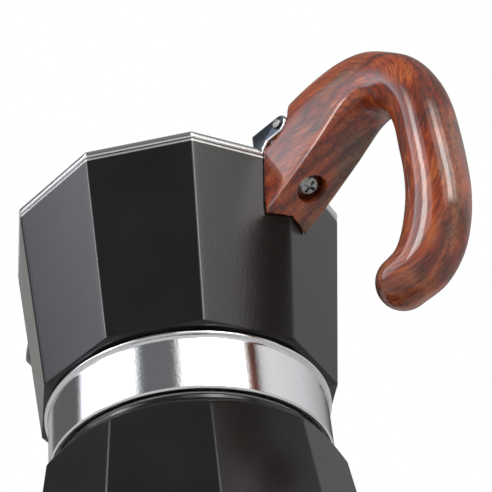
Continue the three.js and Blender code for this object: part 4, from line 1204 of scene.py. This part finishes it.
def handle():
    sections = handle_sections()
    rows = [section_points(*s) for s in sections]
    piece = from_rows("handle_wood", rows, [WOOD], False)
    low_x, high_x = 20.0, 80.0
    sides = [(low_x, underside(low_x)), (low_x, 100), (high_x, 150), (high_x, underside(high_x))]
    below = prism("below", sides, 40, [WOOD], 0)
    notch_x, floor_z, out = 59.5, RIM_Z + 1.9, 8.0
    notch = [(20.0, floor_z), (notch_x - out, floor_z)]
    notch += arc(notch_x - out, floor_z + out, out, -90, 0, 12)[1:]
    notch += [(notch_x, RIM_Z + 40), (20.0, RIM_Z + 40)]
    slot_top = RIM_Z - 2.1
    slot = prism("slot", [(30.0, slot_top - 18), (53.5, slot_top - 10.0), (62.4, slot_top - 6.2),
                          (62.4, slot_top), (30.0, slot_top)], 9.0, [WOOD], 0)
    arm = prism("arm", [(pin_x - 3.4, slot_top - 4), (pin_x + 3.4, slot_top - 4), (pin_x + 3.4, RIM_Z + 20),
                        (pin_x - 3.4, RIM_Z + 20)], KNUCKLE_WIDTH + 0.6, [WOOD], 0)
    screw_hole = along_screw(turned("screw_hole", [(0, -6), (4.35, -6), (4.35, 4.3), (SCREW_HOLE, 4.3),
                                                   (SCREW_HOLE, 12.3), (0, 12.3)], [WOOD], columns=72))
    cutters = (below, pot_space("pot_space"), prism("notch", notch, 40, [WOOD], 0), slot, arm, screw_hole)
    for cutter in cutters:
        combined(piece, "DIFFERENCE", cutter)
    remesh = piece.modifiers.new("even", "REMESH")
    remesh.mode = "VOXEL"
    remesh.voxel_size = HANDLE_VOXEL * MM
    relax = piece.modifiers.new("ease", "SMOOTH")
    relax.factor = 0.5
    relax.iterations = 3
    settle(piece)
    piece.data.materials.clear()
    piece.data.materials.append(WOOD)
    piece.data.shade_smooth()
    add_bent_grain(piece, sections)
    placed(piece, "jug", "rosewood", "handle")


def handle_screw():
    """A pan-head screw with a cross recess, sunk in its counterbore."""
    sink = 1.8
    head = turned(
        "handle_screw_pan",
        [(0, sink), (2.4, sink, 1.2), (4.0, sink + 1.0, 0.8), (4.0, sink + 2.2, 0.15), (2.0, sink + 2.2, 0),
         (2.0, 12.0, 0.4), (0, 12.0)], [STEEL], columns=96, steps=8,
    )
    recess = [(-2.3, sink - 1), (2.3, sink - 1), (1.7, sink + 1.25), (-1.7, sink + 1.25)]
    cut_cross(head, recess, 0.95, sharp=30)
    along_screw(head)
    placed(head, "jug", "steel", "handle_screw")


handle()
handle_screw()

# ---------------------------------------------------------------- floor, light and camera


def floor():
    s = Shader("pale_floor", Roughness=0.6)
    s.link(s.mix(s.spread(s.noise(6, 4), 0, 1), grey(0.80), grey(0.84)), "Base Color")
    s.link(s.bump(s.noise(900, 3), 0.0001, 0.1), "Normal")
    bm = bmesh.new()
    bmesh.ops.create_circle(bm, cap_ends=True, segments=96, radius=3000)
    ground = finished("ground", bm, [s.material])
    ground.location.z = -0.0002


# Brightness around the horizon as (degrees from +X, brightness, tint): cards with dark gaps, set to match
# one photo. The two brightest strips are what the lacquered handle mirrors.
STUDIO = [
    (-180, 0.12, (1, 1, 1)),
    (-139, 0.12, (1, 1, 1)),
    (-132, 2.7, (0.95, 0.98, 1.07)),
    (-122, 1.5, (0.96, 0.98, 1.05)),
    (-112, 1.5, (0.96, 0.98, 1.05)),
    (-110, 7.5, (1, 0.99, 0.97)),
    (-98, 7.5, (1, 0.99, 0.97)),
    (-96, 1.5, (0.96, 0.98, 1.05)),
    (-84, 1.5, (0.96, 0.98, 1.05)),
    (-81, 0.15, (0.98, 1, 1.04)),
    (-50, 0.15, (0.98, 1, 1.04)),
    (-47, 1.5, (1, 0.99, 0.96)),
    (-30, 1.5, (1, 0.99, 0.96)),
    (-28, 7.5, (1, 0.98, 0.95)),
    (-14, 7.5, (1, 0.98, 0.95)),
    (-12, 2.6, (1, 0.99, 0.96)),
    (1, 2.9, (1, 0.99, 0.96)),
    (9, 0.60, (1, 0.97, 0.94)),
    (18, 0.60, (1, 0.98, 0.96)),
    (26, 0.75, (1, 1, 1)),
    (60, 0.65, (1, 1, 1.02)),
    (95, 0.36, (1, 1, 1)),
    (112, 0.10, (1, 1, 1)),
    (145, 0.10, (1, 0.985, 0.95)),
    (152, 0.36, (1, 0.985, 0.95)),
    (168, 0.50, (1, 0.985, 0.95)),
    (175, 0.12, (1, 1, 1)),
]
STUDIO_PEAK = 7.5
OVERHEAD = 0.22
BELOW_CARDS = 0.40
CARD_FOOT = (0.20, 0.34)  # heights of the direction looked in, over which the cards fade in and out
CARD_TOP = (0.63, 0.77)


def studio():
    """Soft cards around the pot; the background itself is plain white."""
    world = bpy.data.worlds.new("studio")
    bpy.context.scene.world = world
    world.use_nodes = True
    tree = world.node_tree
    tree.nodes.clear()

    def node(kind, inputs=None, **settings):
        return add_node(tree, kind, inputs, **settings)

    def rise(z_low, z_high):
        """From 0 to 1 between two heights of the direction looked in."""
        limits = {"Value": parts["Z"], "From Min": z_low, "From Max": z_high}
        return node("ShaderNodeMapRange", limits, interpolation_type="SMOOTHSTEP").outputs[0]

    direction = node("ShaderNodeTexCoord").outputs["Generated"]
    parts = node("ShaderNodeSeparateXYZ", {"Vector": direction}).outputs
    angle = node("ShaderNodeMath", {0: parts["Y"], 1: parts["X"]}, operation="ARCTAN2").outputs[0]
    share = node("ShaderNodeMapRange", {"Value": angle, "From Min": -math.pi, "From Max": math.pi}).outputs[0]
    ramp = node("ShaderNodeValToRGB", {"Fac": share})
    elements = ramp.color_ramp.elements
    while len(elements) < len(STUDIO):
        elements.new(0.5)
    for element, (degrees, brightness, tint) in zip(elements, STUDIO):
        element.position = (degrees + 180) / 360
        element.color = (*(brightness / STUDIO_PEAK * t for t in tint), 1)
    raised = blended(tree, rise(*CARD_FOOT), grey(BELOW_CARDS / STUDIO_PEAK), ramp.outputs["Color"])
    tint = blended(tree, rise(*CARD_TOP), raised, grey(OVERHEAD / STUDIO_PEAK))
    cards = node("ShaderNodeBackground", {"Color": tint, "Strength": STUDIO_PEAK}).outputs[0]
    white = node("ShaderNodeBackground", {"Color": (1, 1, 1, 1), "Strength": 1.0}).outputs[0]
    seen = node("ShaderNodeLightPath").outputs["Is Camera Ray"]
    mixed = node("ShaderNodeMixShader", {0: seen, 1: cards, 2: white}).outputs[0]
    node("ShaderNodeOutputWorld", {"Surface": mixed})
    bpy.context.scene.view_settings.view_transform = "Standard"


LENS = 117.62
SHIFT = (-0.0088, -0.0030)
ROLL = math.radians(-6.511)
VIEW_DIRECTION = Vector((-0.52547, 0.56669, 0.63463))
VIEW_DISTANCE = 0.50084
AIM = Vector((0.01695, 0.01572, 0.16261))
NEAREST = 0.38  # the floor lies nearer than this along every ray, the pot farther


def camera():
    data = bpy.data.cameras.new("camera")
    data.lens = LENS
    data.sensor_width = 36
    data.shift_x, data.shift_y = SHIFT
    data.clip_start = NEAREST
    data.clip_end = 20
    made = bpy.data.objects.new("camera", data)
    bpy.context.scene.collection.objects.link(made)
    forward = VIEW_DIRECTION.normalized()
    right = forward.cross(Vector((0, 0, 1))).normalized()
    up = right.cross(forward)
    x_axis = math.cos(ROLL) * right + math.sin(ROLL) * up
    y_axis = math.cos(ROLL) * up - math.sin(ROLL) * right
    turn = Matrix((x_axis, y_axis, -forward)).transposed().to_4x4()
    made.matrix_world = Matrix.Translation(AIM - forward * VIEW_DISTANCE) @ turn
    bpy.context.scene.camera = made


floor()
studio()
camera()
